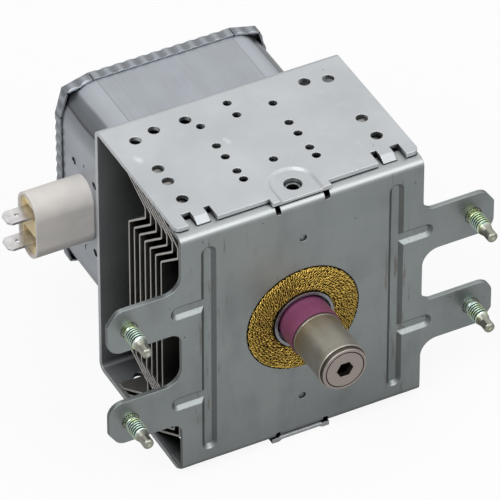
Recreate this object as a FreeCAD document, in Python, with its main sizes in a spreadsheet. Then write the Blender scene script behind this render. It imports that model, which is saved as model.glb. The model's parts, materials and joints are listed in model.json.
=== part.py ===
import FreeCAD, Part
import math
import os
import re
import Sketcher

# Microwave magnetron with its antenna pointing forward, along -Y, and +Z up. The origin is where the
# antenna's axis meets the outer face of the front plate. All sizes are in millimetres.
DIMENSIONS = [
    ("yoke_width", 80, "width of the yoke and of the front plate's middle"),
    ("yoke_height", 93, "height over the yoke's top and bottom plates"),
    ("yoke_depth", 56, "from the front plate's outer face to the yoke's rear face"),
    ("yoke_sheet", 1.5, "steel sheet of the yoke"),
    ("yoke_bend", 2.8, "outer radius of the yoke's two bends"),
    ("yoke_setback", 3.2, "front edges of the yoke behind the front plate's face"),
    ("yoke_corner", 1.8, "rounding of the yoke's front corners"),
    ("tab_half", 9.6, "half width of the yoke's middle tab"),
    ("tab_setback", 0.8, "front edge of the middle tab behind the front plate's face"),
    ("press_half", 7.3, "half width of the recess pressed into the middle tab"),
    ("press_depth", 0.6, "depth of that recess"),
    ("press_slope", 60, "slope of that recess's walls, degrees from straight in"),
    ("screw_place", 6.8, "screw hole behind the front plate's face"),
    ("screw_clear", 2.8, "radius of the clearance hole in the yoke"),
    ("screw_tapped", 1.85, "radius of the tapped hole in the tongue below"),
    ("lock_place", 30.6, "middle of each lock tab from the centre plane"),
    ("lock_width", 4.3, "width of a lock tab"),
    ("lock_slot", 2.0, "width of the slot on a lock tab's inner side"),
    ("lock_slot_outer", 3.0, "width of the slot on its outer side"),
    ("lock_back", 8.7, "back end of the slots"),
    ("lock_crease", 6.0, "crease of a lock tab behind the front plate's face"),
    ("lock_end", 3.7, "end of a lock tab behind the front plate's face"),
    ("lock_drop", 1.4, "fall of a lock tab from its crease to its end"),
    ("duct_near", 12, "near columns of duct holes from the centre plane"),
    ("duct_far", 32, "far columns of duct holes from the centre plane"),
    ("duct_mid", 25, "single rear duct holes from the centre plane"),
    ("duct_single", 14.7, "one more rear duct hole on the connector's side"),
    ("duct_row", 14.8, "first row of duct holes behind the front plate's face"),
    ("duct_second", 19.0, "second row, of the near columns and the centre"),
    ("duct_third", 24.0, "second row of the far columns"),
    ("duct_fourth", 26.4, "third row of the near columns"),
    ("duct_fifth", 30.4, "third row of the far column on the connector's side"),
    ("duct_sixth", 32.1, "fourth row of the near columns"),
    ("duct_seventh", 42.4, "last row of the near columns"),
    ("duct_eighth", 45.2, "last row of the far columns"),
    ("duct_ninth", 47.1, "row of the rear duct holes"),
    ("duct_last", 48.6, "last hole of the centre"),
    ("duct_small", 1.35, "radius of the small duct holes"),
    ("duct_large", 1.85, "radius of the large duct holes"),
    ("plate_sheet", 1.5, "steel sheet of the front plate"),
    ("plate_bend", 2.5, "outer radius of the front plate's bends"),
    ("plate_flange", 7.6, "rear edge of the front plate's flanges"),
    ("plate_play", 0.25, "clearance between the front plate's flanges and the yoke"),
    ("plate_notch_gap", 0.2, "clearance round a lock tab in its notch"),
    ("tongue_half", 7.2, "half width of the lowered tongue in each flange"),
    ("tongue_flange", 11.0, "rear edge of the tongue"),
    ("tongue_tip", 2.5, "rounding of the tongue's rear corners"),
    ("relief_half", 8.9, "outer sides of the relief slots beside the tongue, from the centre plane"),
    ("relief_depth", 2.7, "depth of the relief slots"),
    ("relief_round", 0.8, "rounding at the bottom of a relief slot"),
    ("ear_reach", 64, "ends of the ears from the centre plane"),
    ("ear_height", 15.6, "height of an ear"),
    ("ear_round", 4.6, "rounding of an ear's inner end corner"),
    ("ear_cut_across", 3.2, "width of the cut at an ear's outer end corner"),
    ("ear_cut_up", 4.6, "height of that cut"),
    ("ear_cut_round", 4.0, "rounding where that cut meets the ear's long edge"),
    ("root_large", 5.5, "larger rounding where an ear meets the plate"),
    ("root_small", 3.75, "smaller rounding where an ear meets the plate"),
    ("stud_margin", 7, "studs from the ends of the ears"),
    ("stud_apart", 35, "distance between the stud rows"),
    ("stud_radius", 2.5, "thread radius of a stud"),
    ("stud_length", 12.3, "reach of a stud in front of the plate"),
    ("stud_dog", 3.7, "length of the stud's plain end with its cone"),
    ("stud_dog_radius", 1.7, "radius of the stud's plain end"),
    ("stud_tip", 0.5, "chamfer of the stud's plain end"),
    ("knurl_radius", 2.8, "radius of the stud's knurled collar, which fills its hole in the ear"),
    ("head_radius", 4.2, "radius of the stud's head behind the plate"),
    ("head_thick", 1.2, "thickness of the stud's head"),
    ("bead_place", 31, "upright beads from the centre plane"),
    ("bead_margin", 6, "ends of an upright bead from the outer faces of the flanges"),
    ("bead_branch", 43.5, "outer end of the bead's branches"),
    ("bead_half", 2.5, "half width of a bead"),
    ("bead_depth", 1.1, "depth of a bead"),
    ("bead_slope", 50, "slope of a bead's walls, degrees from straight in"),
    ("seat_gap", 0.3, "clearance round the gasket in its seat"),
    ("seat_depth", 0.6, "depth of the gasket seat"),
    ("dimple_place", 30.4, "dimples above and below the antenna"),
    ("dimple_radius", 1.2, "radius of a dimple"),
    ("fin_count", 7, "number of cooling fins"),
    ("fin_first", 15.1, "middle of the first fin's flat part behind the plate's face"),
    ("fin_pitch", 3.5, "distance between fins"),
    ("fin_sheet", 0.6, "aluminium sheet of the fins"),
    ("fin_half", 39, "half width of a fin"),
    ("fin_bend", 1.0, "bend radius of a fin"),
    ("fin_step", 11, "forward step of a fin's ends"),
    ("fin_return_top", 14.4, "backward run of the upper slope to the foot"),
    ("fin_return_low", 17.3, "backward run of the lower slope to the foot"),
    ("fin_foot_gap", 0.25, "space between a foot and the next fin"),
    ("fin_flat_top", 20.0, "top of the fin's flat part below the yoke's top plate"),
    ("fin_step_top", 10.7, "top of the upper forward slope below the top plate"),
    ("fin_riser_top", 6.5, "top of the upper riser below the top plate"),
    ("fin_flat_low", 20.9, "bottom of the fin's flat part above the yoke's bottom plate"),
    ("fin_step_low", 16.1, "bottom of the lower forward slope above the bottom plate"),
    ("fin_riser_low", 10.7, "bottom of the lower riser above the bottom plate"),
    ("fin_collar", 1.4, "height of a fin's collar on the anode"),
    ("anode_radius", 19.5, "outer radius of the anode cylinder"),
    ("anode_wall", 2.5, "wall of the anode cylinder"),
    ("anode_length", 27.2, "length of the anode cylinder"),
    ("vane_count", 10, "number of anode vanes"),
    ("vane_tip", 4.5, "radius at the vane tips"),
    ("vane_height", 9, "height of a vane along the axis"),
    ("vane_thick", 1.9, "thickness of a vane"),
    ("strap_inner", 7.0, "inner radius of the small strap ring"),
    ("strap_outer", 8.5, "inner radius of the large strap ring"),
    ("strap_wide", 0.8, "radial width of a strap ring"),
    ("strap_thick", 0.8, "thickness of a strap ring along the axis"),
    ("strap_depth", 1.2, "floor of the vane's notch below a strap it carries"),
    ("strap_clear", 0.5, "free space round a strap that the vane doesn't carry"),
    ("pole_radius", 18.5, "rim radius of a pole piece"),
    ("pole_rim", 1.0, "thickness of a pole piece's rim"),
    ("pole_cone", 12.0, "radius where a pole piece's cone begins"),
    ("pole_tip", 7.0, "outer radius at a pole piece's tip"),
    ("pole_wall", 1.2, "thickness of a pole piece's tip"),
    ("pole_bore", 4.6, "radius of a pole piece's bore"),
    ("pole_gap", 0.9, "space between a pole piece's tip and the vanes"),
    ("magnet_radius", 23.5, "outer radius of a ring magnet"),
    ("magnet_bore", 10.6, "bore of a ring magnet"),
    ("cup_radius", 9.8, "outer radius of a seal cup"),
    ("cup_wall", 0.9, "wall of a seal cup"),
    ("cup_foot", 0.5, "thickness of a seal cup's foot"),
    ("cup_flange", 7.2, "width of a seal cup's foot round its tube"),
    ("cup_proud", 1.1, "output cup in front of the plate"),
    ("cup_ledge", 0.7, "thickness of a seal cup's ledge"),
    ("cup_play", 0.2, "clearance of a seal cup in the sheet round it"),
    ("input_proud", 2.5, "input cup behind the yoke"),
    ("ceramic_radius", 8.2, "outer radius of the output ceramic"),
    ("ceramic_wall", 1.8, "wall of the output ceramic"),
    ("ceramic_proud", 8.7, "output ceramic in front of the plate"),
    ("ceramic_seat", 2.2, "seat of the output ceramic behind the plate's face"),
    ("cap_radius", 7.75, "outer radius of the antenna cap between its beads"),
    ("cap_wall", 0.7, "wall of the antenna cap"),
    ("cap_tip", 26.5, "end of the antenna cap in front of the plate"),
    ("cap_end", 1.7, "thickness of the antenna cap's end"),
    ("cap_bead", 0.12, "height of the antenna cap's beads"),
    ("cap_bead_wide", 1.4, "width of the bead at the cap's end"),
    ("cap_bead_base", 0.7, "width of the bead at the ceramic"),
    ("cap_nose", 1.4, "length of the cap's narrower end in front of its bead"),
    ("cap_nose_step", 0.6, "step from the bead down to that end"),
    ("cap_nose_round", 0.4, "rounding of the cap's end"),
    ("cap_hex", 5.6, "hexagonal hole in the cap's end, over its corners"),
    ("cap_groove", 6.2, "middle radius of the groove on the cap's end"),
    ("cap_groove_wide", 0.35, "width of that groove"),
    ("cap_groove_depth", 0.4, "depth of that groove"),
    ("gasket_radius", 18.4, "outer radius of the mesh gasket"),
    ("gasket_play", 0.2, "clearance of the mesh gasket round the output cup"),
    ("gasket_proud", 1.1, "mesh gasket in front of the plate"),
    ("tube_radius", 2.6, "outer radius of the exhaust tube"),
    ("tube_bore", 1.7, "bore of the exhaust tube"),
    ("tube_reach", 11.5, "length of the exhaust tube in front of the ceramic"),
    ("lead_radius", 0.8, "radius of the antenna lead"),
    ("lead_place", 10.5, "antenna lead's place on its vane, from the axis"),
    ("rod_radius", 0.55, "radius of the cathode rods"),
    ("rod_apart", 2.8, "side rod below the centre rod"),
    ("rod_clear", 0.5, "clearance of the centre rod in the rear hat"),
    ("hat_radius", 3.4, "radius of a cathode end hat"),
    ("hat_thick", 1.1, "thickness of a cathode end hat"),
    ("filament_radius", 1.9, "mean radius of the filament coil"),
    ("filament_wire", 0.25, "radius of the filament wire"),
    ("filament_turns", 7, "turns of the filament coil"),
    ("filament_over", 0.5, "filament beyond the vanes at each end"),
    ("stem_body", 3.9, "thickness of the stem ceramic's disc"),
    ("stem_column", 5.0, "length of the stem ceramic's column"),
    ("stem_column_radius", 7.2, "radius of the stem ceramic's column"),
    ("sleeve_radius", 1.1, "outer radius of a cathode terminal sleeve"),
    ("sleeve_length", 3, "length of a cathode terminal sleeve"),
    ("box_half", 34.4, "half width of the filter box"),
    ("box_round", 12.2, "corner radius of the filter box"),
    ("box_sheet", 0.6, "aluminium sheet of the filter box and its cover"),
    ("box_length", 37.2, "length of the filter box behind the yoke"),
    ("cover_skirt", 3.5, "depth of the cover's rim"),
    ("cover_play", 0.1, "clearance between cover and box"),
    ("ripple_pitch", 4.05, "distance between the flutes of the cover's rim"),
    ("ripple_count", 11, "flutes along each straight side"),
    ("cover_lean", 15, "lean of the cover's two corner flats against its sides, degrees"),
    ("ripple_depth", 0.3, "depth of a flute"),
    ("ripple_radius", 3.2, "radius of a flute"),
    ("slit_width", 0.5, "width of the slits in the cover's rim"),
    ("rivet_place", 22, "box rivets from the axis, sideways and up"),
    ("rivet_radius", 1.6, "radius of a box rivet"),
    ("rivet_head", 2.8, "radius of a rivet's head"),
    ("rivet_rise", 0.9, "height of a rivet's head"),
    ("port_place", 19.8, "middle of the connector behind the yoke"),
    ("port_round", 6.5, "end radius of the connector's housing"),
    ("port_straight", 5, "half length of the housing's straight part"),
    ("port_length", 19.1, "length of the connector's housing"),
    ("port_wall", 1.0, "wall of the connector's housing"),
    ("port_recess", 2.4, "depth of the housing's open end"),
    ("port_fill", 1.4, "thickness of the insulator in the open end"),
    ("port_neck", 5.4, "end radius of the neck through the box's wall"),
    ("blade_apart", 10, "distance between the blades"),
    ("blade_width", 6.3, "width of a blade"),
    ("blade_thick", 0.8, "thickness of a blade"),
    ("blade_proud", 7.6, "blade beyond the housing"),
    ("blade_inside", 4.4, "blade inside the box"),
    ("blade_chamfer", 1.3, "chamfer of a blade's tip"),
    ("blade_hole", 0.8, "radius of the hole in a blade"),
    ("blade_hole_place", 4.2, "hole in a blade behind its tip"),
    ("blade_slot", 1.6, "space round a blade in the insulator"),
    ("earth_sheet", 0.8, "sheet of the connector's earth plate"),
    ("earth_half_wide", 9.5, "half width of the earth plate"),
    ("earth_half_high", 16.5, "half height of the earth plate"),
    ("earth_hole", 1.3, "radius of the holes beside the connector"),
    ("earth_hole_wide", 6.8, "those holes from the connector's middle, along the axis"),
    ("earth_hole_high", 13, "those holes above and below the connector's middle"),
    ("clinch_high", 15.2, "clinch marks above and below the connector's middle"),
    ("clinch_run", 2.4, "length of a clinch mark"),
    ("clinch_wide", 0.6, "width of a clinch mark"),
    ("clinch_depth", 0.35, "depth of a clinch mark in the box's wall"),
    ("choke_mean", 3.2, "mean radius of a choke coil"),
    ("choke_wire", 0.7, "radius of the choke wire"),
    ("choke_pitch", 2.8, "distance between the turns of a choke"),
    ("choke_turns", 6, "turns of a choke"),
    ("choke_lead", 3, "straight lead between a blade and its choke"),
    ("choke_drop", 3, "straight lead above a cathode terminal"),
    ("core_play", 0.4, "clearance of a ferrite core in its choke"),
    ("core_over", 1.5, "ferrite core beyond its choke at each end"),
]
NAMES = [name for name, value, note in DIMENSIONS]

document = FreeCAD.newDocument("magnetron")
sheet = document.addObject("Spreadsheet::Sheet", "dims")
for row, (name, value, note) in enumerate(DIMENSIONS, start=1):
    sheet.set("A%d" % row, note)
    sheet.set("B%d" % row, str(value))
    sheet.setAlias("B%d" % row, name)
document.recompute()


def linked(text):
    """Turn the dimension names in an expression into references to the spreadsheet."""
    return re.sub(r"[a-z_]+", lambda found: "dims." + found[0] if found[0] in NAMES else found[0], text)


def size(text):
    """Work out an expression of dimension names."""
    return float(sheet.evalExpression(text))


def bind(thing, **properties):
    """Bind properties of an object to expressions of dimension names."""
    for name, text in properties.items():
        thing.setExpression(name, linked(text))


# Values that several pieces share.
PLATE_TOP = "(yoke_height / 2 - yoke_sheet)"
EAR_MIDDLE = "(stud_apart / 2)"
STUD_MIDDLE = "(ear_reach - stud_margin)"
TUBE_MIDDLE = "((plate_sheet + yoke_depth - yoke_sheet) / 2)"
CUP_FRONT = "(%s - anode_length / 2 - pole_rim - cup_foot)" % TUBE_MIDDLE
CUP_REAR = "(%s + anode_length / 2 + pole_rim + cup_foot)" % TUBE_MIDDLE
STEM_FACE = "(yoke_depth + input_proud - cup_ledge * 2)"
SLEEVE_FACE = "(%s + stem_body + stem_column)" % STEM_FACE
PORT_MIDDLE = "(yoke_depth + port_place)"
CHOKE_HEIGHT = "(blade_apart / 2 + choke_mean)"
COIL_STEPS = 8
WIRE_SIDES = 6


def new_body(label):
    """Start a sub-part made of sketches and features."""
    body = document.addObject("PartDesign::Body", label)
    body.Label = label
    return body


def origin_plane(body, role):
    return [feature for feature in body.Origin.OriginFeatures if feature.Role == role][0]


def new_sketch(body, role, name, offset=("0", "0", "0")):
    """A sketch on one of the body's origin planes, moved by an offset in the sketch's own axes."""
    sketch = body.newObject("Sketcher::SketchObject", name)
    sketch.AttachmentSupport = (origin_plane(body, role), "")
    sketch.MapMode = "FlatFace"
    for axis, text in zip("xyz", offset):
        if text != "0":
            sketch.setExpression("AttachmentOffset.Base." + axis, linked(text))
    return sketch


def constrain(sketch, kind, *places, text):
    """Add a dimension to the sketch and bind it to an expression."""
    index = sketch.addConstraint(Sketcher.Constraint(kind, *places, size(text)))
    if re.search("[a-z]", text):
        sketch.setExpression("Constraints[%d]" % index, linked(text))


def pin_point(sketch, geometry, end, across, up):
    constrain(sketch, "DistanceX", -1, 1, geometry, end, text=across)
    constrain(sketch, "DistanceY", -1, 1, geometry, end, text=up)


def vector(across, up):
    return FreeCAD.Vector(size(across), size(up), 0)


def add_outline(sketch, points, closed=True):
    """Straight lines through points, each given by two expressions."""
    first = sketch.GeometryCount
    count = len(points) if closed else len(points) - 1
    for index in range(count):
        here = points[index]
        there = points[(index + 1) % len(points)]
        sketch.addGeometry(Part.LineSegment(vector(*here), vector(*there)))
    for index in range(count if closed else count - 1):
        following = first + (index + 1) % count
        sketch.addConstraint(Sketcher.Constraint("Coincident", first + index, 2, following, 1))
    for index in range(count):
        pin_point(sketch, first + index, 1, *points[index])
    if not closed:
        pin_point(sketch, first + count - 1, 2, *points[-1])


def add_circle(sketch, across, up, radius):
    circle = Part.Circle(vector(across, up), FreeCAD.Vector(0, 0, 1), size(radius))
    index = sketch.addGeometry(circle)
    pin_point(sketch, index, 3, across, up)
    constrain(sketch, "Radius", index, text=radius)


def add_rectangle(sketch, left, low, right, high):
    add_outline(sketch, [(left, low), (right, low), (right, high), (left, high)])


def add_stadium(sketch, across_1, up_1, across_2, up_2, radius):
    """Two half circles joined by straight sides, with both centres pinned."""
    centres = [vector(across_1, up_1), vector(across_2, up_2)]
    run = centres[1] - centres[0]
    angle = math.atan2(run.y, run.x)
    side = FreeCAD.Vector(-math.sin(angle), math.cos(angle), 0) * size(radius)
    up_axis = FreeCAD.Vector(0, 0, 1)
    first = sketch.GeometryCount
    quarter = math.pi / 2
    for centre, start in ((centres[0], angle + quarter), (centres[1], angle - quarter)):
        circle = Part.Circle(centre, up_axis, size(radius))
        sketch.addGeometry(Part.ArcOfCircle(circle, start, start + math.pi))
    sketch.addGeometry(Part.LineSegment(centres[0] - side, centres[1] - side))
    sketch.addGeometry(Part.LineSegment(centres[1] + side, centres[0] + side))
    for one, end, other, start in ((0, 2, 2, 1), (2, 2, 1, 1), (1, 2, 3, 1), (3, 2, 0, 1)):
        sketch.addConstraint(Sketcher.Constraint("Tangent", first + one, end, first + other, start))
    pin_point(sketch, first, 3, across_1, up_1)
    pin_point(sketch, first + 1, 3, across_2, up_2)
    constrain(sketch, "Radius", first, text=radius)


def add_bent_line(sketch, points, bend):
    """An open line through points, with a bend of one radius at each inner point."""
    add_outline(sketch, points, closed=False)
    for index in range(len(points) - 2):
        round_corner(sketch, points, index + 1, bend)


def round_corner(sketch, points, corner, radius):
    """Round one corner of an outline that starts the sketch."""
    place = vector(*points[corner])
    before = place + (vector(*points[corner - 1]) - place) * 0.1
    after = place + (vector(*points[(corner + 1) % len(points)]) - place) * 0.1
    sketch.fillet(corner - 1, corner, before, after, size(radius), True, True)
    arcs = [number for number, shape in enumerate(sketch.Geometry)
            if shape.TypeId == "Part::GeomArcOfCircle"]
    constrain(sketch, "Radius", arcs[-1], text=radius)


def pad(body, sketch, length, **options):
    """Push a sketch into a solid by a bound length."""
    feature = body.newObject("PartDesign::Pad", sketch.Name + "_pad")
    return extrude(body, feature, sketch, length, options)


def pocket(body, sketch, length, **options):
    """Cut a sketch out of the solid by a bound length."""
    feature = body.newObject("PartDesign::Pocket", sketch.Name + "_cut")
    return extrude(body, feature, sketch, length, options)


def extrude(body, feature, sketch, length, options):
    feature.Profile = sketch
    bind(feature, Length=length)
    for name, value in options.items():
        if isinstance(value, str):
            feature.setExpression(name, linked(value))
        else:
            setattr(feature, name, value)
    body.Tip = feature
    document.recompute()
    return feature


def mirror(body, features, role):
    """Repeat features on the other side of one of the body's origin planes."""
    feature = body.newObject("PartDesign::Mirrored", features[-1].Name + "_mirrored")
    feature.Originals = features
    feature.MirrorPlane = (origin_plane(body, role), [""])
    body.Tip = feature
    document.recompute()
    return feature


def turn(label, points):
    """A body turned about the antenna's axis from a section of (distance along Y, radius)."""
    body = new_body(label)
    sketch = new_sketch(body, "YZ_Plane", label + "_section")
    add_outline(sketch, points)
    feature = body.newObject("PartDesign::Revolution", label + "_turned")
    feature.Profile = sketch
    feature.ReferenceAxis = (sketch, ["H_Axis"])
    feature.Angle = 360
    body.Tip = feature
    document.recompute()
    return body


def straight_edges(shape, axis, *places):
    """Names of the straight edges along one axis at the given places on the other two."""
    others = [index for index in range(3) if index != axis]
    names = []
    for number, edge in enumerate(shape.Edges, start=1):
        if edge.Curve.TypeId != "Part::GeomLine":
            continue
        run = edge.Vertexes[1].Point - edge.Vertexes[0].Point
        if abs(run[axis]) < 0.999 * run.Length:
            continue
        middle = edge.CenterOfMass
        for place in places:
            if all(abs(middle[index] - size(text)) < 0.01 for index, text in zip(others, place)):
                names.append("Edge%d" % number)
    return names


def ring_edges(shape, *places):
    """Names of the circular edges about the antenna's axis with a given (Y, radius)."""
    names = []
    for number, edge in enumerate(shape.Edges, start=1):
        if edge.Curve.TypeId != "Part::GeomCircle":
            continue
        for along, radius in places:
            if abs(edge.Curve.Radius - size(radius)) < 0.01 and \
                    abs(edge.Curve.Center.y - size(along)) < 0.01:
                names.append("Edge%d" % number)
    return names


def round_edges(body, names, radius):
    """Round edges of the body's last feature with a bound radius."""
    last = body.Tip
    feature = body.newObject("PartDesign::Fillet", body.Name + "_round")
    feature.Base = (last, names)
    bind(feature, Radius=radius)
    body.Tip = feature
    document.recompute()
    return feature


def cup_hole(sketch):
    add_circle(sketch, "0", "0", "cup_radius + cup_play")


def make_front_plate():
    """Front plate with bent flanges, pressed beads and four ears."""
    body = new_body("front_plate")
    section = new_sketch(body, "YZ_Plane", "plate_section")
    inner, outer, edge = "plate_sheet", "(%s - plate_play)" % PLATE_TOP, "plate_flange"
    inside = outer + " - plate_sheet"
    add_outline(section, [
        ("0", "-" + outer), (edge, "-" + outer), (edge, "-(%s)" % inside), (inner, "-(%s)" % inside),
        (inner, inside), (edge, inside), (edge, outer), ("0", outer)])
    shell = pad(body, section, "yoke_width", Midplane=True)
    sharp = straight_edges(shell.Shape, 0, ("0", outer), ("0", "-" + outer))
    shell = round_edges(body, sharp, "plate_bend")
    hollow = straight_edges(shell.Shape, 0, (inner, inside), (inner, "-(%s)" % inside))
    round_edges(body, hollow, "plate_bend - plate_sheet")

    relief = new_sketch(body, "XZ_Plane", "relief")
    for low, high in ((outer + " - relief_depth", "yoke_height / 2"),
                      ("-yoke_height / 2", "-(%s - relief_depth)" % outer)):
        add_rectangle(relief, "-relief_half", low, "relief_half", high)
    pocket(body, relief, "plate_flange * 2")
    floor = "(%s - relief_depth)" % outer
    bottoms = [(side + "relief_half", level + floor) for side in ("", "-") for level in ("", "-")]
    round_edges(body, straight_edges(body.Shape, 1, *bottoms), "relief_round")
    add_tongues(body, PLATE_TOP + " - press_depth")
    add_ears(body)

    notches = new_sketch(body, "XY_Plane", "lock_notches")
    for side in ("", "-"):
        near = side + "(lock_place - lock_width / 2 - plate_notch_gap)"
        far = side + "(lock_place + lock_width / 2 + plate_notch_gap)"
        left, right = (near, far) if side == "" else (far, near)
        add_rectangle(notches, left, "lock_end - plate_notch_gap", right, "plate_flange * 2")
    pocket(body, notches, "yoke_height", Midplane=True)
    press_beads(body)

    hole = new_sketch(body, "XZ_Plane", "antenna_hole")
    cup_hole(hole)
    pocket(body, hole, "plate_sheet * 2")
    seat = new_sketch(body, "XZ_Plane", "gasket_seat")
    add_circle(seat, "0", "0", "gasket_radius + seat_gap")
    pocket(body, seat, "seat_depth")
    dimples = new_sketch(body, "XZ_Plane", "dimples")
    for side in ("", "-"):
        add_circle(dimples, "0", side + "dimple_place", "dimple_radius")
    pocket(body, dimples, "seat_depth")
    studs = new_sketch(body, "XZ_Plane", "stud_holes")
    for side in ("-", ""):
        for level in ("-", ""):
            add_circle(studs, side + STUD_MIDDLE, level + EAR_MIDDLE, "knurl_radius")
    pocket(body, studs, "plate_sheet * 2")
    screws = new_sketch(body, "XY_Plane", "tapped_holes")
    add_circle(screws, "0", "screw_place", "screw_tapped")
    pocket(body, screws, "yoke_height", Midplane=True)
    return body


def add_tongues(body, face):
    """The lowered middle of each flange, which the yoke's pressed recess lies on."""
    section = new_sketch(body, "YZ_Plane", "tongue_section")
    root = PLATE_TOP + " - plate_play - relief_depth - plate_sheet"
    points = [
        ("0", root), ("plate_sheet", root), ("plate_sheet", face + " - plate_sheet"),
        ("tongue_flange", face + " - plate_sheet"), ("tongue_flange", face), ("0", face)]
    add_outline(section, points)
    round_corner(section, points, 2, "plate_bend - plate_sheet")
    round_corner(section, points, 5, "plate_bend")
    tongue = pad(body, section, "tongue_half * 2", Midplane=True)
    mirror(body, [tongue], "XY_Plane")
    tips = [(side + "tongue_half", "tongue_flange") for side in ("", "-")]
    round_edges(body, straight_edges(body.Shape, 2, *tips), "tongue_tip")


def add_ears(body):
    """Ears with a large and a small rounding at the root and a cut outer corner."""
    inner = "(%s - ear_height / 2)" % EAR_MIDDLE
    outer = "(%s + ear_height / 2)" % EAR_MIDDLE
    start = "(yoke_width / 2 - plate_sheet)"
    for side, word in (("-", "left"), ("", "right")):
        for level, rank in (("-", "low"), ("", "high")):
            sketch = new_sketch(body, "XZ_Plane", "ear_%s_%s" % (word, rank))
            points = [
                (start, inner), ("ear_reach", inner), ("ear_reach", outer + " - ear_cut_up"),
                ("(ear_reach - ear_cut_across)", outer), (start, outer)]
            points = [(side + across, "%s(%s)" % (level, up)) for across, up in points]
            add_outline(sketch, points)
            pad(body, sketch, "plate_sheet", Reversed=True)
    shape = body.Shape
    root = "yoke_width / 2"
    large = [("-" + root, outer), ("-" + root, "-" + inner), (root, inner), (root, "-" + outer)]
    small = [("-" + root, inner), ("-" + root, "-" + outer), (root, outer), (root, "-" + inner)]
    round_edges(body, straight_edges(shape, 1, *large), "root_large")
    round_edges(body, straight_edges(body.Shape, 1, *small), "root_small")
    signs = [(side, level) for side in ("", "-") for level in ("", "-")]
    ends = [(side + "ear_reach", level + inner) for side, level in signs]
    cuts = [(side + "(ear_reach - ear_cut_across)", level + outer) for side, level in signs]
    round_edges(body, straight_edges(body.Shape, 1, *ends), "ear_round")
    round_edges(body, straight_edges(body.Shape, 1, *cuts), "ear_cut_round")


def bead_strokes():
    """The middle lines of the beads: one upright on each side with two branches into the ears."""
    reach = "(%s - bead_margin - bead_half)" % PLATE_TOP
    strokes = []
    for side in ("", "-"):
        strokes.append((side + "bead_place", "-" + reach, side + "bead_place", reach))
        for level in ("", "-"):
            up = level + "stud_apart / 2"
            strokes.append((side + "bead_place", up, side + "(bead_branch - bead_half)", up))
    return strokes


def press_beads(body):
    """Tapered grooves in the front face with ridges of the same depth behind them."""
    strokes = bead_strokes()
    for number, stroke in enumerate(strokes, start=1):
        ridge = new_sketch(body, "XZ_Plane", "ridge_%d" % number, ("0", "0", "-plate_sheet"))
        add_stadium(ridge, *stroke, "bead_half")
        pad(body, ridge, "bead_depth", Reversed=True, TaperAngle="-bead_slope")
    for number, stroke in enumerate(strokes, start=1):
        groove = new_sketch(body, "XZ_Plane", "groove_%d" % number)
        add_stadium(groove, *stroke, "bead_half")
        pocket(body, groove, "bead_depth", TaperAngle="-bead_slope")


def make_yoke():
    """One folded strip: top plate, rear wall and bottom plate."""
    body = new_body("yoke_frame")
    top, inside = "yoke_height / 2", PLATE_TOP
    section = new_sketch(body, "YZ_Plane", "yoke_section")
    rear = "yoke_depth - yoke_sheet"
    add_outline(section, [
        ("yoke_setback", top), ("yoke_depth", top), ("yoke_depth", "-" + top), ("yoke_setback", "-" + top),
        ("yoke_setback", "-" + inside), (rear, "-" + inside), (rear, inside), ("yoke_setback", inside)])
    strip = pad(body, section, "yoke_width", Midplane=True)
    outer = straight_edges(strip.Shape, 0, ("yoke_depth", top), ("yoke_depth", "-" + top))
    strip = round_edges(body, outer, "yoke_bend")
    inner = straight_edges(strip.Shape, 0, (rear, inside), (rear, "-" + inside))
    round_edges(body, inner, "yoke_bend - yoke_sheet")

    slots = new_sketch(body, "XY_Plane", "lock_slots")
    for side in ("", "-"):
        near = side + "(lock_place - lock_width / 2 - lock_slot)"
        far = side + "(lock_place + lock_width / 2 + lock_slot_outer)"
        left, right = (near, far) if side == "" else (far, near)
        add_rectangle(slots, left, "-yoke_setback", right, "lock_back")
    pocket(body, slots, "yoke_height * 1.1", Midplane=True)
    half = "yoke_width / 2"
    corners = [(side + half, "yoke_setback") for side in ("", "-")]
    round_edges(body, straight_edges(body.Shape, 2, *corners), "yoke_corner")
    add_lock_tabs(body, inside)
    add_middle_tabs(body, inside)

    stem = new_sketch(body, "XZ_Plane", "stem_hole", ("0", "0", "-yoke_depth * 1.1"))
    add_circle(stem, "0", "0", "magnet_bore")
    for across in ("-rivet_place", "rivet_place"):
        for up in ("-rivet_place", "rivet_place"):
            add_circle(stem, across, up, "rivet_radius")
    pocket(body, stem, "yoke_depth * 0.2", Reversed=True)
    drill_ducts(body)
    return body


def add_lock_tabs(body, inside):
    """Tabs bent down between two slots, into the notches of the front plate's flanges."""
    outer = inside + " + yoke_sheet"
    step = [("lock_back + yoke_sheet", inside), ("lock_back + yoke_sheet", outer),
            ("lock_crease", outer), ("lock_end", outer + " - lock_drop"),
            ("lock_end", inside + " - lock_drop"), ("lock_crease", inside)]
    tabs = []
    for side, word in (("", "right"), ("-", "left")):
        sketch = new_sketch(body, "YZ_Plane", "lock_tab_" + word, ("0", "0", side + "lock_place"))
        add_outline(sketch, step)
        tabs.append(pad(body, sketch, "lock_width", Midplane=True))
    mirror(body, tabs, "XY_Plane")


def add_middle_tabs(body, inside):
    """Longer tabs in the middle, with a recess pressed down round the screw hole."""
    tab = new_sketch(body, "XY_Plane", "middle_tab", ("0", "0", inside))
    add_rectangle(tab, "-tab_half", "tab_setback", "tab_half", "yoke_setback + yoke_sheet")
    tab = pad(body, tab, "yoke_sheet")
    boss = new_sketch(body, "XY_Plane", "recess_back", ("0", "0", inside))
    draw_recess(boss, "press_half", "tab_setback")
    boss = pad(body, boss, "press_depth", Reversed=True, TaperAngle="-press_slope")
    mirror(body, [tab, boss], "XY_Plane")
    recess = new_sketch(body, "XY_Plane", "recess", ("0", "0", inside + " + yoke_sheet"))
    draw_recess(recess, "press_half", "-tab_setback")
    recess = pocket(body, recess, "press_depth", TaperAngle="-press_slope")
    mirror(body, [recess], "XY_Plane")
    screw = new_sketch(body, "XY_Plane", "screw_holes")
    add_circle(screw, "0", "screw_place", "screw_clear")
    pocket(body, screw, "yoke_height * 1.1", Midplane=True)


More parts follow.
